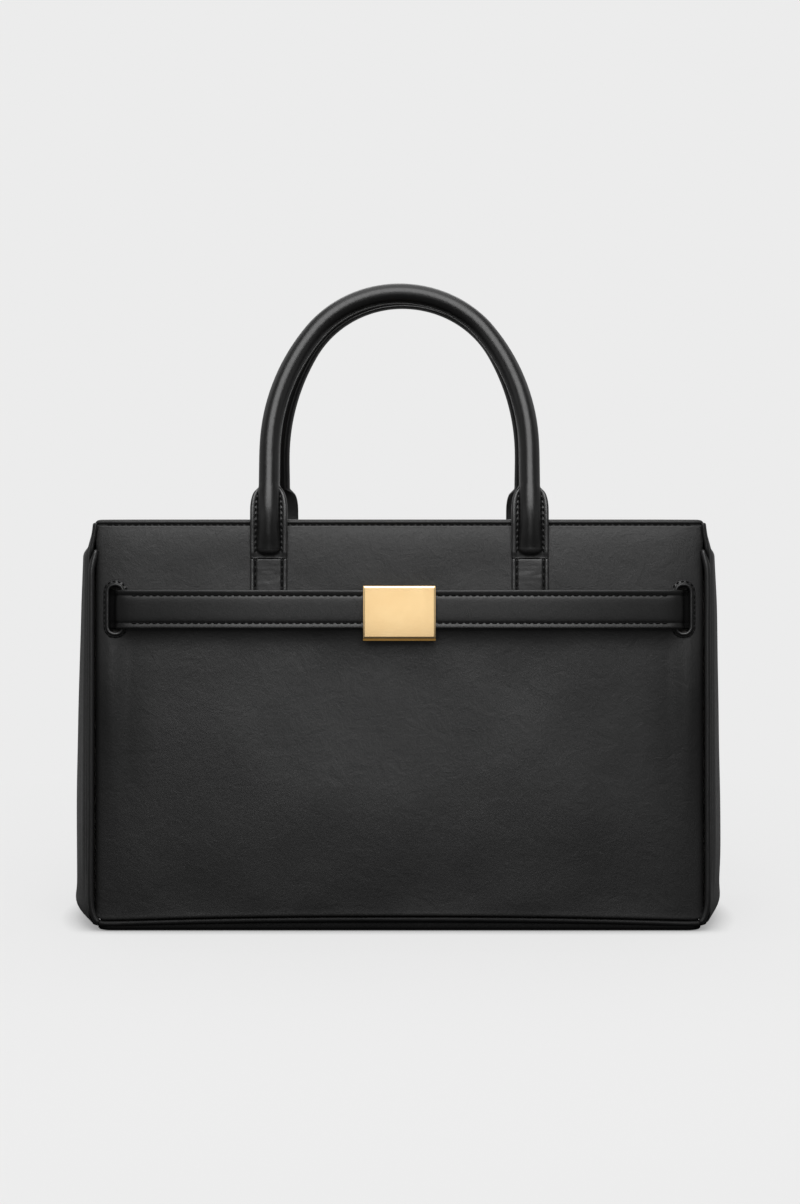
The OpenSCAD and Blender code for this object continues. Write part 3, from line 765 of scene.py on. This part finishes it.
def facing_piece(side):
    """The leather strip inside the top edge, stitched along its foot."""
    name = SIDES[side]
    bm = bmesh.new()
    columns = both_ways([145, 146.4, 147.2, 147.4], steps(-140, 140, 35))
    downs = (FACING_H, 33.7, 33, 31.4, 30.6, FACING_STITCHES, 29.8, 29, 24, 17, 10, 5, 3.2, 2.6, 2, 1, 0.5,
             0.3)

    def place(x, up):
        rim = min(PANEL_HALF - 5.1 - abs(x), up - SLANT_H + FACING_H, SLANT_H - 0.3 - up)
        soft = 0.7 * (1 - clamp(rim)) ** 2
        groove = 0.3 * hump(up, SLANT_H - FACING_STITCHES, 0.5) + 0.3 * hump(up, STITCH_LINE, 0.5)
        out = -6.5 + soft + groove + 0.2 * wander(x, up, 9 + side, 40) * clamp(rim / 6)
        return on_panel(side, x, up + top_shift(side, up), out)

    sheet(bm, columns, [SLANT_H - down for down in downs], place)
    face_away(bm, -1)
    finish_piece(f"{name}_facing_leather", bm, [PANEL_LEATHER], [f"{name}_facing"],
                 smooth=1, wall=FACING_WALL, turned=True)
    bm = bmesh.new()
    for up in (SLANT_H - FACING_STITCHES, STITCH_LINE):
        up += top_shift(side, up)
        path = [(on_panel(side, x, up, -6.45), -facing_out(side)) for x in steps(-145, 145, 145)]
        stitch_row(bm, path, STITCH_PITCH, FACING_STITCH)
    finish_piece(f"{name}_facing_stitches", bm, [THREAD])


def lining_piece():
    """The lining, one bag of cloth: flat on the board, up the panels and into the folded gussets."""
    bm = bmesh.new()
    floor_z = 6.15
    heights = [floor_z, floor_z + 0.3, floor_z + 1.4, 10, 16, 26, 40, 60, 80, 100, 120, 140, 155, 166, 170.5,
               173, 178, 184, 188, 192, 196, 200, 203]

    def loop(z):
        points = []
        tuck_in = 2.2 * (1 - clamp((z - floor_z) / 1.4)) ** 2
        depth = mix(5.6, 4.6, ease((z - 169) / 4))
        y = half_depth(z) - depth - 0.6 - tuck_in
        side_y = y - 1.2
        rough = 0.8 * ease((z - 8) / 20)

        def x_at(u):
            return gusset_x(u * side_y / (half_depth(z) - GUSSET_INSET), max(z, 9)) - 3.4 - tuck_in

        corner_x = min(x_at(1), 150.6 if z < 171 else 148.2)
        for way, seed in ((1, 20), (-1, 22)):
            for u in steps(-way, way, 24):
                x = u * (corner_x - 2)
                points.append(Vector((x, -way * (y + 0.3 * rough * wander(x, z, seed, 35)), z)))
            for u in steps(-way, way, 20)[1:-1]:
                x = x_at(u) + rough * wander(u * 50, z, seed + 1, 30) * (1 - u * u)
                points.append(Vector((way * x, u * side_y, z)))
        return points

    swept(bm, [loop(z) for z in heights], filled_ends=1)
    finish_piece("lining_bag", bm, [LINING_CLOTH],
                 ["front_lining", "back_lining", "left_lining", "right_lining", "base_lining"],
                 wall=LINING_WALL)


# Handles

FLARE = [(0, TAB_HALF), (0.14, 9.3), (0.42, 8.85), (0.70, 7.8), (0.85, 6.8), (0.976, 5.5), (1.0, ROLL_R)]
LEG_STEPS = [-24.97, -24.85, -24.4, -23.6, -22.8, -22.1, -21.7, -21.2, -20.6, -19.8, -18.8, -17.6, -16.0,
             -13.5, -11, -9, -7, -5, -3, -1, 1, 3, 5, 7, 8.6, 10, 11.2, 12.0, 12.6, 13.6, 15.5, 18, 21, 24]
HINGE_REACH = 9.0
# The arch's stations give this for their distance from the hinge line.
ON_ARCH = 99
ARCH_LEAN = 1.2
STITCH_INSET = 2.75
CORE_R, CORE_TAB_R, CORE_FOOT = 3.7, 2.5, -16
# Between these places the ridge faces take the shinier tab leather, a painted sheen that lightens the roll's
# toe.
TOE_LOW, TOE_HIGH = -24.9, -20.3


def leg_station(side, q):
    """A station of the right leg, q along it from the hinge line.

    Gives its middle, its side and out directions, the half width of its wings and q.
    """
    hinge = Vector((LEG_X[side], side * HINGE_Y, HINGE_Z))
    if q <= -HINGE_REACH:
        middle, angle = hinge + rising(side, TILT) * q, TILT
    elif q >= HINGE_REACH:
        middle, angle = hinge + rising(side, LEAN) * q, LEAN
    else:
        t = (q + HINGE_REACH) / (2 * HINGE_REACH)
        a, b = hinge - rising(side, TILT) * HINGE_REACH, hinge + rising(side, LEAN) * HINGE_REACH
        middle = a * (1 - t) ** 2 + hinge * 2 * t * (1 - t) + b * t * t
        angle = mix(TILT, LEAN, t)
    out = facing_out(side, angle)
    middle += out * -0.28 * ease((-q - 4) / 12)
    width = TAB_HALF if q < 0 else look_up(FLARE, q / FLARE_H)
    return middle, Vector((1, 0, 0)), out, max(width, ROLL_R), q


def arch_station(side, angle):
    """A station of the right half of the arch, by the direction of its outer side."""
    leg_x, rise, crown, arc = LEG_X[side], RISE[side], CROWN_R[side], CROWN_ARC[side]
    shoulder = (leg_x - crown * math.sin(arc)) / (1 - math.sin(arc))
    if angle <= math.pi / 2 - arc:
        x = leg_x - shoulder + shoulder * math.cos(angle)
        h = rise - crown * (1 - math.cos(arc)) - shoulder * math.cos(arc) + shoulder * math.sin(angle)
    else:
        x = crown * math.cos(angle)
        h = rise - crown + crown * math.sin(angle)
    up = rising(side, LEAN)
    middle = Vector((x, side * HINGE_Y, HINGE_Z)) + up * h
    across = Vector((math.cos(angle), 0, 0)) + up * math.sin(angle)
    return middle, across, facing_out(side, LEAN), ROLL_R, ON_ARCH


def mirrored(v):
    return Vector((-v.x, v.y, v.z))


def handle_stations(side):
    split = math.pi / 2 - CROWN_ARC[side]
    right = [leg_station(side, q) for q in LEG_STEPS]
    right += [arch_station(side, angle) for angle in steps(0, split, 9)]
    right += [arch_station(side, angle) for angle in steps(split, math.pi / 2, 13)[1:]]
    left = [(mirrored(middle), mirrored(across), *rest) for middle, across, *rest in reversed(right[:-1])]
    shift = Vector((HANDLE_SHIFT[side], 0, 0))
    made = [(middle + shift, *rest) for middle, *rest in right + left]
    for middle, across, _, _, q in made:
        if q == ON_ARCH and middle.x > 0:
            middle.x += ARCH_LEAN * across.x * across.z
    return made


def tab_share(width):
    """1 where the section is all tab, 0 where it is only the roll."""
    return clamp((width - ROLL_R) / (TAB_HALF - ROLL_R))


RIDGE_STEPS, BACK_STEPS = 12, 6
TUBE_ANGLES = (steps(-36, -3, 5) + steps(4, 176, RIDGE_STEPS) + steps(183, 216, 5)
               + steps(228, 312, BACK_STEPS))
# Which of a section's faces lie on the roll, and which two are the tab's cut edges.
RIDGE_FACES, EDGE_FACES = range(7, 18), (1, 23)


def handle_ring(station):
    """One section: the roll above, the two wings of the tab beside it, and the flat back of the tab."""
    middle, across, out, width, q = station
    spread = tab_share(width)
    end = clamp((-q - 20.0) / 3.3)
    plan = math.sqrt(max(0.0, 1 - end * end))
    taper = 1 - 0.2 * clamp((-q - 1) / 19) - 0.15 * ease((-q - 12.5) / 8.5)
    ridge = max(0.06, ROLL_R * taper * plan)
    sewn = ease((-q - 3) / 12)
    flat_top = mix(0.9, 1.3, sewn)
    foot = ease((-q - 22) / 2.5)
    top, thick = -0.3 * foot, TAB_T - 0.35 * foot
    wide = max(2.4, (ROLL_R + mix(0.35, 0.9, sewn)) * plan ** 0.7)
    bead = 0.3 * (1 - foot)
    wing = [(width - 0.5, -thick), (width, -thick + 0.6), (width, top - 0.55), (width - 0.6, top + bead),
            (width - 1.9, top + bead - 0.1), (width - STITCH_INSET, top - 0.6)]
    points = list(wing)
    for a in steps(0, math.pi, RIDGE_STEPS):
        points.append((wide * math.cos(a), top - 0.25 + (ridge + 0.25) * math.sin(a) ** flat_top))
    points += [(-x, z) for x, z in reversed(wing)]
    points += [(x, -thick) for x in steps(-width + 1.6, width - 1.6, BACK_STEPS)]
    ring = []
    for (x, z), degrees in zip(points, TUBE_ANGLES):
        a = math.radians(degrees)
        tube = Vector((ROLL_R * math.cos(a), ROLL_R * math.sin(a), 0))
        p = tube.lerp(Vector((x, z, 0)), ease(spread * 1.35))
        ring.append(middle + across * p.x + out * p.y)
    return ring


def core_piece(side, stations, bend):
    """The rope inside the roll, set forward where the flat back of the tab cuts into the roll."""
    rings = []
    for middle, across, out, width, q in stations:
        if q >= CORE_FOOT:
            spread = tab_share(width)
            radius = mix(CORE_R, CORE_TAB_R, spread)
            rings.append(round_ring(middle + out * (1.1 * spread), across, out, radius))
    bm = bmesh.new()
    swept(bm, rings)
    name = f"{SIDES[side]}_handle_core"
    finish_piece(f"{name}_rope", bm, [BACKING], [name], bend=bend)


def seam_piece(side, stations, bend):
    """The raised seam along the inside of the arch, which runs on as the cut edge of each tab."""
    turned = math.radians(8 if side == FRONT else 62)
    section = ((-1, 0), (-0.95, 0.7), (-0.6, 1), (0, 0.86), (0.6, 1), (0.95, 0.7), (1, 0), (0, -0.3))
    rings = []
    for middle, across, out, width, q in stations:
        if q < -23:
            continue
        spread = ease(tab_share(width) * 1.35)
        roll_out = across * -math.cos(turned) - out * math.sin(turned)
        roll_side = out * math.cos(turned) - across * math.sin(turned)
        proud = roll_out.lerp(-across, spread).normalized()
        flat = roll_side.lerp(out, spread).normalized()
        foot = middle - across * (width - 0.35) - out * (TAB_T / 2)
        centre = (middle + roll_out * (ROLL_R - 0.35)).lerp(foot, spread)
        half, high = mix(0.42, 0.9, spread), mix(0.95, 0.5, spread)
        rings.append([centre + flat * half * a + proud * high * b for a, b in section])
    bm = bmesh.new()
    swept(bm, rings)
    finish_piece(f"{SIDES[side]}_handle_seam", bm, [SEAM_EDGE], bend=bend, smooth=1)


def tab_stitches(side, bend):
    bm = bmesh.new()
    for wing in (-1, 1):
        for mirror in (-1, 1):
            path = []
            for q in steps(-22.6, 9.2, 32):
                middle, across, out, width, _ = leg_station(side, q)
                p = middle + across * wing * (min(width, TAB_HALF) - STITCH_INSET) - out * 0.12
                if width - STITCH_INSET < 5.3:
                    p += out * 0.35
                path.append((Vector((mirror * p.x + HANDLE_SHIFT[side], p.y, p.z)), out))
            stitch_row(bm, path, TAB_PITCH, TAB_STITCH, slant=0.25 * wing * mirror)
    finish_piece(f"{SIDES[side]}_tab_stitches", bm, [THREAD], bend=bend)


def handle_piece(side):
    """The handle's shape bends across its hinge line, from the tilt of its tabs to the lean of its roll."""
    name = f"{SIDES[side]}_handle"
    stations = handle_stations(side)
    bend = ("bag", name, *((0, side * HINGE_Y * MM, (HINGE_Z + beyond) * MM) for beyond in (-5.5, 7.5)))

    def material_of(index, k):
        q = stations[index][4]
        # Below the flare, the tab's wings and back take the shinier tab leather as a painted sheen, and so
        # do the roll's toe faces. The cut edges take the edge paint.
        if q > FLARE_H or (k in RIDGE_FACES and not TOE_LOW < q < TOE_HIGH):
            return 0
        return 1 if k in EDGE_FACES else 2

    bm = bmesh.new()
    swept(bm, [handle_ring(s) for s in stations], material_of)
    finish_piece(f"{name}_leather", bm, [HANDLE_LEATHER, EDGE_PAINT, TAB_LEATHER_PAINTED_SHEEN],
                 [name, f"{SIDES[side]}_left_tab", f"{SIDES[side]}_right_tab"], bend=bend, smooth=1)
    core_piece(side, stations, bend)
    seam_piece(side, stations, bend)
    tab_stitches(side, bend)


TAB_COLUMNS = both_ways([1, 3, 5, 5.9, 6.4, 6.75, 7.1, 7.5, 8.2, 8.9, 9.25, 9.3])
TAB_SEAM, TAB_RIM = 6.75, 6.95
# The creases of a lower tab: height, slope, middle and depth.
CRUMPLES = ((182.4, 0.05, 1.5, 0.13), (180.1, -0.04, -1.0, 0.1), (178.0, 0.06, 2.2, 0.12),
            (175.4, 0.02, 0.4, 0.1))


def lower_tab_piece(side, hand):
    """The strip below an upper tab, sewn with a coarser stitch, which runs in behind the belt."""
    name = f"{SIDES[side]}_{HANDS[hand]}_lower_tab"
    top = TAB_FOOT - 0.2
    middle = hand * LEG_X[side] + HANDLE_SHIFT[side]
    bm = bmesh.new()

    def place(x, up):
        rim = 0.9 * (1 - clamp((TAB_COLUMNS[-1] - abs(x)) / 0.7)) ** 2
        groove = 0.6 * hump(abs(x), TAB_SEAM, 0.45)
        edge = 0.65 * ease((abs(x) - TAB_RIM) / 0.7)
        crumple = sum(depth * hump(up - slope * x, height, 0.45) * hump(x, centre, 3.6)
                      for height, slope, centre, depth in CRUMPLES)
        out = 1.3 - rim - groove + edge - crumple + 0.12 * wander(x * 3, up * 3, 30 + hand, 9)
        return on_leather(side, middle + x, up, out)

    sheet(bm, TAB_COLUMNS, steps(top, top - LOWER_TAB_H, 30), place)
    face_away(bm)
    # The rims take the shinier tab leather: a painted highlight along the strip's edges.
    for face in bm.faces:
        face.material_index = 1 if abs(face.calc_center_median().x - middle) > TAB_RIM else 0
    finish_piece(f"{name}_leather", bm, [HANDLE_LEATHER, TAB_LEATHER_PAINTED_SHEEN], [name],
                 smooth=1, wall=LOWER_TAB_WALL, turned=True)
    bm = bmesh.new()
    for edge in (-1, 1):
        ups = steps(top - 0.6, top - 24.6, 30)
        path = [(on_leather(side, middle + edge * TAB_SEAM, up, 1.05), facing_out(side)) for up in ups]
        stitch_row(bm, path, LOWER_TAB_PITCH, LOWER_TAB_STITCH, slant=0.2 * edge)
    finish_piece(f"{name}_stitches", bm, [THREAD])


# Belt

# Distance from the middle and height over the panel, along a belt half and down into its slot.
BELT_PATH = [(0.15, 2.4), (0.6, 2.4), (4, 2.4)] + [(10 + 4.0 * i, 2.4) for i in range(30)] + [
    (129, 2.4), (132.6, 2.3), (135.8, 2.0), (138.2, 1.5), (139.9, 0.7), (140.9, -0.2), (141.5, -1.2),
    (141.9, -2.2), (142.5, -3.1), (143.6, -3.7), (145.2, -3.8), (148, -3.8)]
BELT_TOP = [(9.8, 0.0), (9.78, 0.55), (9.5, 0.95), (9.0, 1.08), (8.2, 0.96), (7.4, 0.74), (6.9, 0.45),
            (6.5, 0.68), (5.8, 0.95), (3.5, 1.04), (0, 1.05)]
BELT_SECTION = BELT_TOP + [(-u, o) for u, o in reversed(BELT_TOP[:-1])] + [
    (-9.5, -0.85), (-8.6, -1.0), (-4, -1.0), (0, -1.0), (4, -1.0), (8.6, -1.0), (9.5, -0.85)]
BELT_EDGE_FACES = (0, 1, 18, 19, 20, 27)
TAIL_SHADE_FROM, THIN_FROM = 141.4, 141.7
BELT_ROWS, BELT_ROW_START, BELT_ROW_END = (-6.9, 6.9), 18.6, 134.6


def belt_wave(hand, x):
    return 0.25 * wander(x * hand, 0, 40, 30) * clamp(x / 30) * clamp((130 - x) / 20)


def by_belt(hand, x, out, up):
    return on_panel(FRONT, hand * x, BELT_H + up, out)


def belt_piece(hand):
    name = f"{HANDS[hand]}_belt"
    rings = []
    for i, (x, out) in enumerate(BELT_PATH):
        ax, ao = BELT_PATH[max(i - 1, 0)]
        bx, bo = BELT_PATH[min(i + 1, len(BELT_PATH) - 1)]
        length = math.hypot(bx - ax, bo - ao)
        thick = 1.0 if x < THIN_FROM else 0.78
        nx, no = -(bo - ao) / length * thick, (bx - ax) / length * thick
        width = mix(0.985, 1.0, clamp(x / 60))
        out += belt_wave(hand, x)
        rings.append([by_belt(hand, x + nx * o, out + no * o, u * width) for u, o in BELT_SECTION])

    def material_of(index, k):
        # Past the slot, the strap's tail takes the near-black matte leather: painted shade behind the panel.
        if BELT_PATH[index][0] > TAIL_SHADE_FROM:
            return 2
        return 1 if k in BELT_EDGE_FACES else 0

    bm = bmesh.new()
    swept(bm, rings, material_of)
    finish_piece(f"{name}_leather", bm, [BELT_LEATHER, EDGE_PAINT, BELT_TAIL_PAINTED_SHADE], [name], smooth=1)
    bm = bmesh.new()
    for row in BELT_ROWS:
        xs = steps(BELT_ROW_START, BELT_ROW_END, 58)
        path = [(by_belt(hand, x, 3.2 + belt_wave(hand, x), row), facing_out(FRONT)) for x in xs]
        stitch_row(bm, path, BELT_PITCH, BELT_STITCH)
    finish_piece(f"{name}_stitches", bm, [THREAD])


def slot_loop(grow):
    """Points round a slot, grown outwards, with their outward directions."""
    return round_rectangle(SLOT_HALF_W + grow, SLOT_HALF_H + grow, SLOT_R + grow, 1, 8)


def slot_ring_piece(hand):
    name = f"{HANDS[hand]}_slot_ring"
    # Outwards from the ring's middle and up from the panel; the first three faces are the painted edge.
    profile = [(-1.55, -0.5), (-1.58, 0.4), (-1.4, 1.0), (-0.85, 1.35), (-0.3, 1.3), (0.1, 0.85), (0.4, 0.5),
               (0.9, 0.42), (1.35, 0.3), (1.5, -0.1), (1.45, -0.5)]

    def at_slot(x, y, out):
        return on_leather(FRONT, hand * SLOT_X + x, BELT_H + y, out)

    rings = [[at_slot(x + nx * grow, y + ny * grow, out) for grow, out in profile]
             for x, y, nx, ny in slot_loop(1.5)]
    bm = bmesh.new()
    swept(bm, rings, lambda index, k: 1 if k < 3 else 0, joined=True)
    finish_piece(f"{name}_leather", bm, [RING_LEATHER, EDGE_PAINT], [name], smooth=1)
    bm = bmesh.new()
    loop = slot_loop(2.3)
    path = [(at_slot(x, y, 0.45), facing_out(FRONT)) for x, y, _, _ in loop + loop[:1]]
    stitch_row(bm, path, RING_PITCH, RING_STITCH)
    finish_piece(f"{name}_stitches", bm, [THREAD])


# Clasp

def clasp_cover_piece():
    """The bevelled cover, with the two knuckles of its hinge behind its top edge."""
    width, height, thick, bevel_w, bevel_d = 36.2, 26.2, 2.8, 0.85, 0.48
    knuckle_l, knuckle_r, knuckle_inset = 10.2, 0.9, 5.2
    middle_h = BELT_H + BELT_HALF + 1.8 - height / 2
    low_face = 4.8
    bm = bmesh.new()
    size = Matrix.Diagonal((width, height, thick - bevel_d, 1))
    for v in bmesh.ops.create_cube(bm, size=1, matrix=size)["verts"]:
        v.co.z += (thick - bevel_d) / 2
    face = next(f for f in bm.faces if f.normal.z > 0.9)
    raised = bmesh.ops.extrude_discrete_faces(bm, faces=[face])["faces"][0]
    for v in raised.verts:
        v.co.x -= math.copysign(bevel_w, v.co.x)
        v.co.y -= math.copysign(bevel_w, v.co.y)
        v.co.z += bevel_d
    bmesh.ops.bevel(bm, geom=list(bm.edges), offset=0.12, offset_type="OFFSET", segments=3, profile=0.5,
                    affect="EDGES", material=-1)
    for hand in (LEFT, RIGHT):
        x, y = hand * (width / 2 - knuckle_inset), height / 2 - knuckle_r
        turn = Matrix.Translation((x, y, -1.2)) @ Matrix.Rotation(math.pi / 2, 4, "Y")
        bmesh.ops.create_cone(bm, cap_ends=True, segments=24, radius1=knuckle_r, radius2=knuckle_r,
                              depth=knuckle_l, matrix=turn)
        web = Matrix.Translation((x, y, -0.5)) @ Matrix.Diagonal((knuckle_l, 2 * knuckle_r, 1.5, 1))
        bmesh.ops.create_cube(bm, size=1, matrix=web)
    for v in bm.verts:
        v.co = on_panel(FRONT, v.co.x, middle_h + v.co.y, low_face + v.co.z)
    finish_piece("clasp_cover_plate", bm, [GOLD], ["clasp_cover"], body="clasp_cover", sharp=24)


# Pieces that keep their CAD shape

CAD_FINISH = {
    "base_board": BOARD, "front_handle_backing": BACKING, "back_handle_backing": BACKING,
    "clasp_base": BASE_GOLD_PAINTED_SHADE, "clasp_magnet": BASE_GOLD_PAINTED_SHADE, "clasp_pin": GOLD, "clasp_rivets": GOLD,
    "belt_stud": GOLD, "front_snap": GOLD, "back_snap": GOLD,
    "front_snap_washer": STEEL, "back_snap_washer": STEEL,
}


def build_bag():
    for side in (FRONT, BACK):
        panel_piece(side)
        panel_stitches(side)
        bottom_piping(side)
        facing_piece(side)
        handle_piece(side)
        for hand in (LEFT, RIGHT):
            side_piping(side, hand)
            lower_tab_piece(side, hand)
    for hand in (LEFT, RIGHT):
        gusset_piece(hand)
        belt_piece(hand)
        slot_ring_piece(hand)
    base_piece()
    lining_piece()
    clasp_cover_piece()
    for name, material in CAD_FINISH.items():
        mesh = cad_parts[name].data
        mesh.materials.clear()
        mesh.materials.append(material)


build_bag()


# Studio, in metres

PALE = 0.8388
PAINTED_CONTACT_SHADOW = 0.38 * PALE


def floor_piece():
    """The camera sees the backdrop's own pale tone, the object's real shadow in a diffuse share, and a
    painted contact shadow; reflections see a grey table.
    """
    bm = bmesh.new()
    bmesh.ops.create_grid(bm, x_segments=1, y_segments=1, size=20)
    mesh = bpy.data.meshes.new("studio_floor")
    bm.to_mesh(mesh)
    bm.free()
    made, tree, table = new_material("pale_floor")
    place = object_place(tree)
    depth = add(tree, "SeparateXYZ", {"Vector": place}).outputs["Y"]
    feed(tree, table, {"Base Color": span(tree, depth, -0.05, 0.3, 0.07, 0.3), "Roughness": 0.9,
                       "Specular IOR Level": 0.0})
    shaded = add(tree, "BsdfDiffuse", {"Color": grey(0.66)}).outputs["BSDF"]
    # The camera's pale tone darkens where the bag closes the floor in: a painted contact shadow.
    openness = add(tree, "AmbientOcclusion", {"Distance": 0.012}, samples=6).outputs["AO"]
    glow_with_painted_shadow = add(tree, "Emission", {"Strength": span(tree, openness, 0.05, 0.95, PAINTED_CONTACT_SHADOW, PALE)})
    reach = add(tree, "VectorMath", {0: place}, operation="LENGTH").outputs["Value"]
    backdrop = add(tree, "MixShader", {"Fac": span(tree, reach, 0.25, 0.7, 0.82, 1), 1: shaded,
                                       2: glow_with_painted_shadow.outputs["Emission"]})
    seen = add(tree, "LightPath", {}).outputs["Is Camera Ray"]
    both = add(tree, "MixShader", {"Fac": seen, 1: table.outputs["BSDF"], 2: backdrop.outputs["Shader"]})
    feed(tree, tree.nodes["Material Output"], {"Surface": both.outputs["Shader"]})
    mesh.materials.append(made)
    floor = bpy.data.objects.new("studio_floor", mesh)
    floor.location.z = -0.0003
    bpy.context.scene.collection.objects.link(floor)


def studio_world():
    """Dim at both sides of the bag, brighter before and behind it, and the pale backdrop for the camera."""
    world = bpy.data.worlds.new("studio")
    bpy.context.scene.world = world
    world.use_nodes = True
    tree = world.node_tree
    tree.nodes.clear()
    way = add(tree, "TexCoord", {}).outputs["Generated"]
    along = span(tree, add(tree, "SeparateXYZ", {"Vector": way}).outputs["Y"], -1, 1, 0, 1)
    walls = ramp(tree, along, *((at, grey(tone)) for at, tone in
                                ((0, 0.18), (0.22, 0.18), (0.5, 0.26), (0.8, 0.42), (1, 0.5))))
    lit = add(tree, "Background", {"Color": walls}).outputs["Background"]
    seen = add(tree, "Background", {"Color": grey(PALE)}).outputs["Background"]
    rays = add(tree, "LightPath", {}).outputs
    direct = compute(tree, "MAXIMUM", rays["Is Camera Ray"], rays["Is Transmission Ray"])
    both = add(tree, "MixShader", {"Fac": direct, 1: lit, 2: seen}).outputs["Shader"]
    add(tree, "OutputWorld", {"Surface": both})


BAG_CENTRE = Vector((0, 0, 0.16))
LAMP_DISTANCE, LAMP_WIDTH = 2.2, 1.87
# Each lamp's turn about the bag, its rise and the angle it takes up, in degrees, and its power.
LAMPS = {
    "front_box": (0, 40, 44, 50), "top_box": (0, 86, 48, 16), "back_box": (180, 42, 40, 15),
    "left_box": (-62, 6, 24, 2.3), "right_box": (62, 6, 24, 1.6),
    "left_rim": (-112, 38, 30, 3.5), "right_rim": (112, 38, 30, 3.5),
}
CARD_SIZE, CARD_GLOW = (0.6, 0.5), 0.88


def soft_box(name, place, size, power):
    """A rectangular lamp aimed at the bag, which the camera doesn't see."""
    light = bpy.data.lights.new(name, "AREA")
    light.shape = "RECTANGLE"
    light.size, light.size_y = size
    light.energy = power
    made = bpy.data.objects.new(name, light)
    made.location = place
    made.rotation_euler = (BAG_CENTRE - Vector(place)).to_track_quat("-Z", "Y").to_euler()
    made.visible_camera = False
    bpy.context.scene.collection.objects.link(made)


def lamps():
    for name, (*angles, power) in LAMPS.items():
        turn, rise, extent = (math.radians(angle) for angle in angles)
        far, up = LAMP_DISTANCE * math.cos(rise), LAMP_DISTANCE * math.sin(rise)
        place = (far * math.sin(turn), -far * math.cos(turn), BAG_CENTRE.z + up)
        soft_box(name, place, (LAMP_WIDTH, 2 * LAMP_DISTANCE * math.tan(extent / 2)), power)
    soft_box("front_card", (0, -1.6, 0.25), CARD_SIZE, CARD_GLOW * math.pi * CARD_SIZE[0] * CARD_SIZE[1])


LENS, CAMERA_PLACE, CAMERA_DIP = 73.25, (0.0003, -1.2825, 0.2115), 2.198


def camera():
    lens = bpy.data.cameras.new("camera")
    lens.sensor_width = 36
    lens.lens = LENS
    made = bpy.data.objects.new("camera", lens)
    made.location = CAMERA_PLACE
    made.rotation_euler = (math.radians(90 - CAMERA_DIP), 0, 0)
    bpy.context.scene.collection.objects.link(made)
    bpy.context.scene.camera = made


floor_piece()
lamps()
studio_world()
camera()
bpy.context.scene.view_settings.view_transform = "Standard"
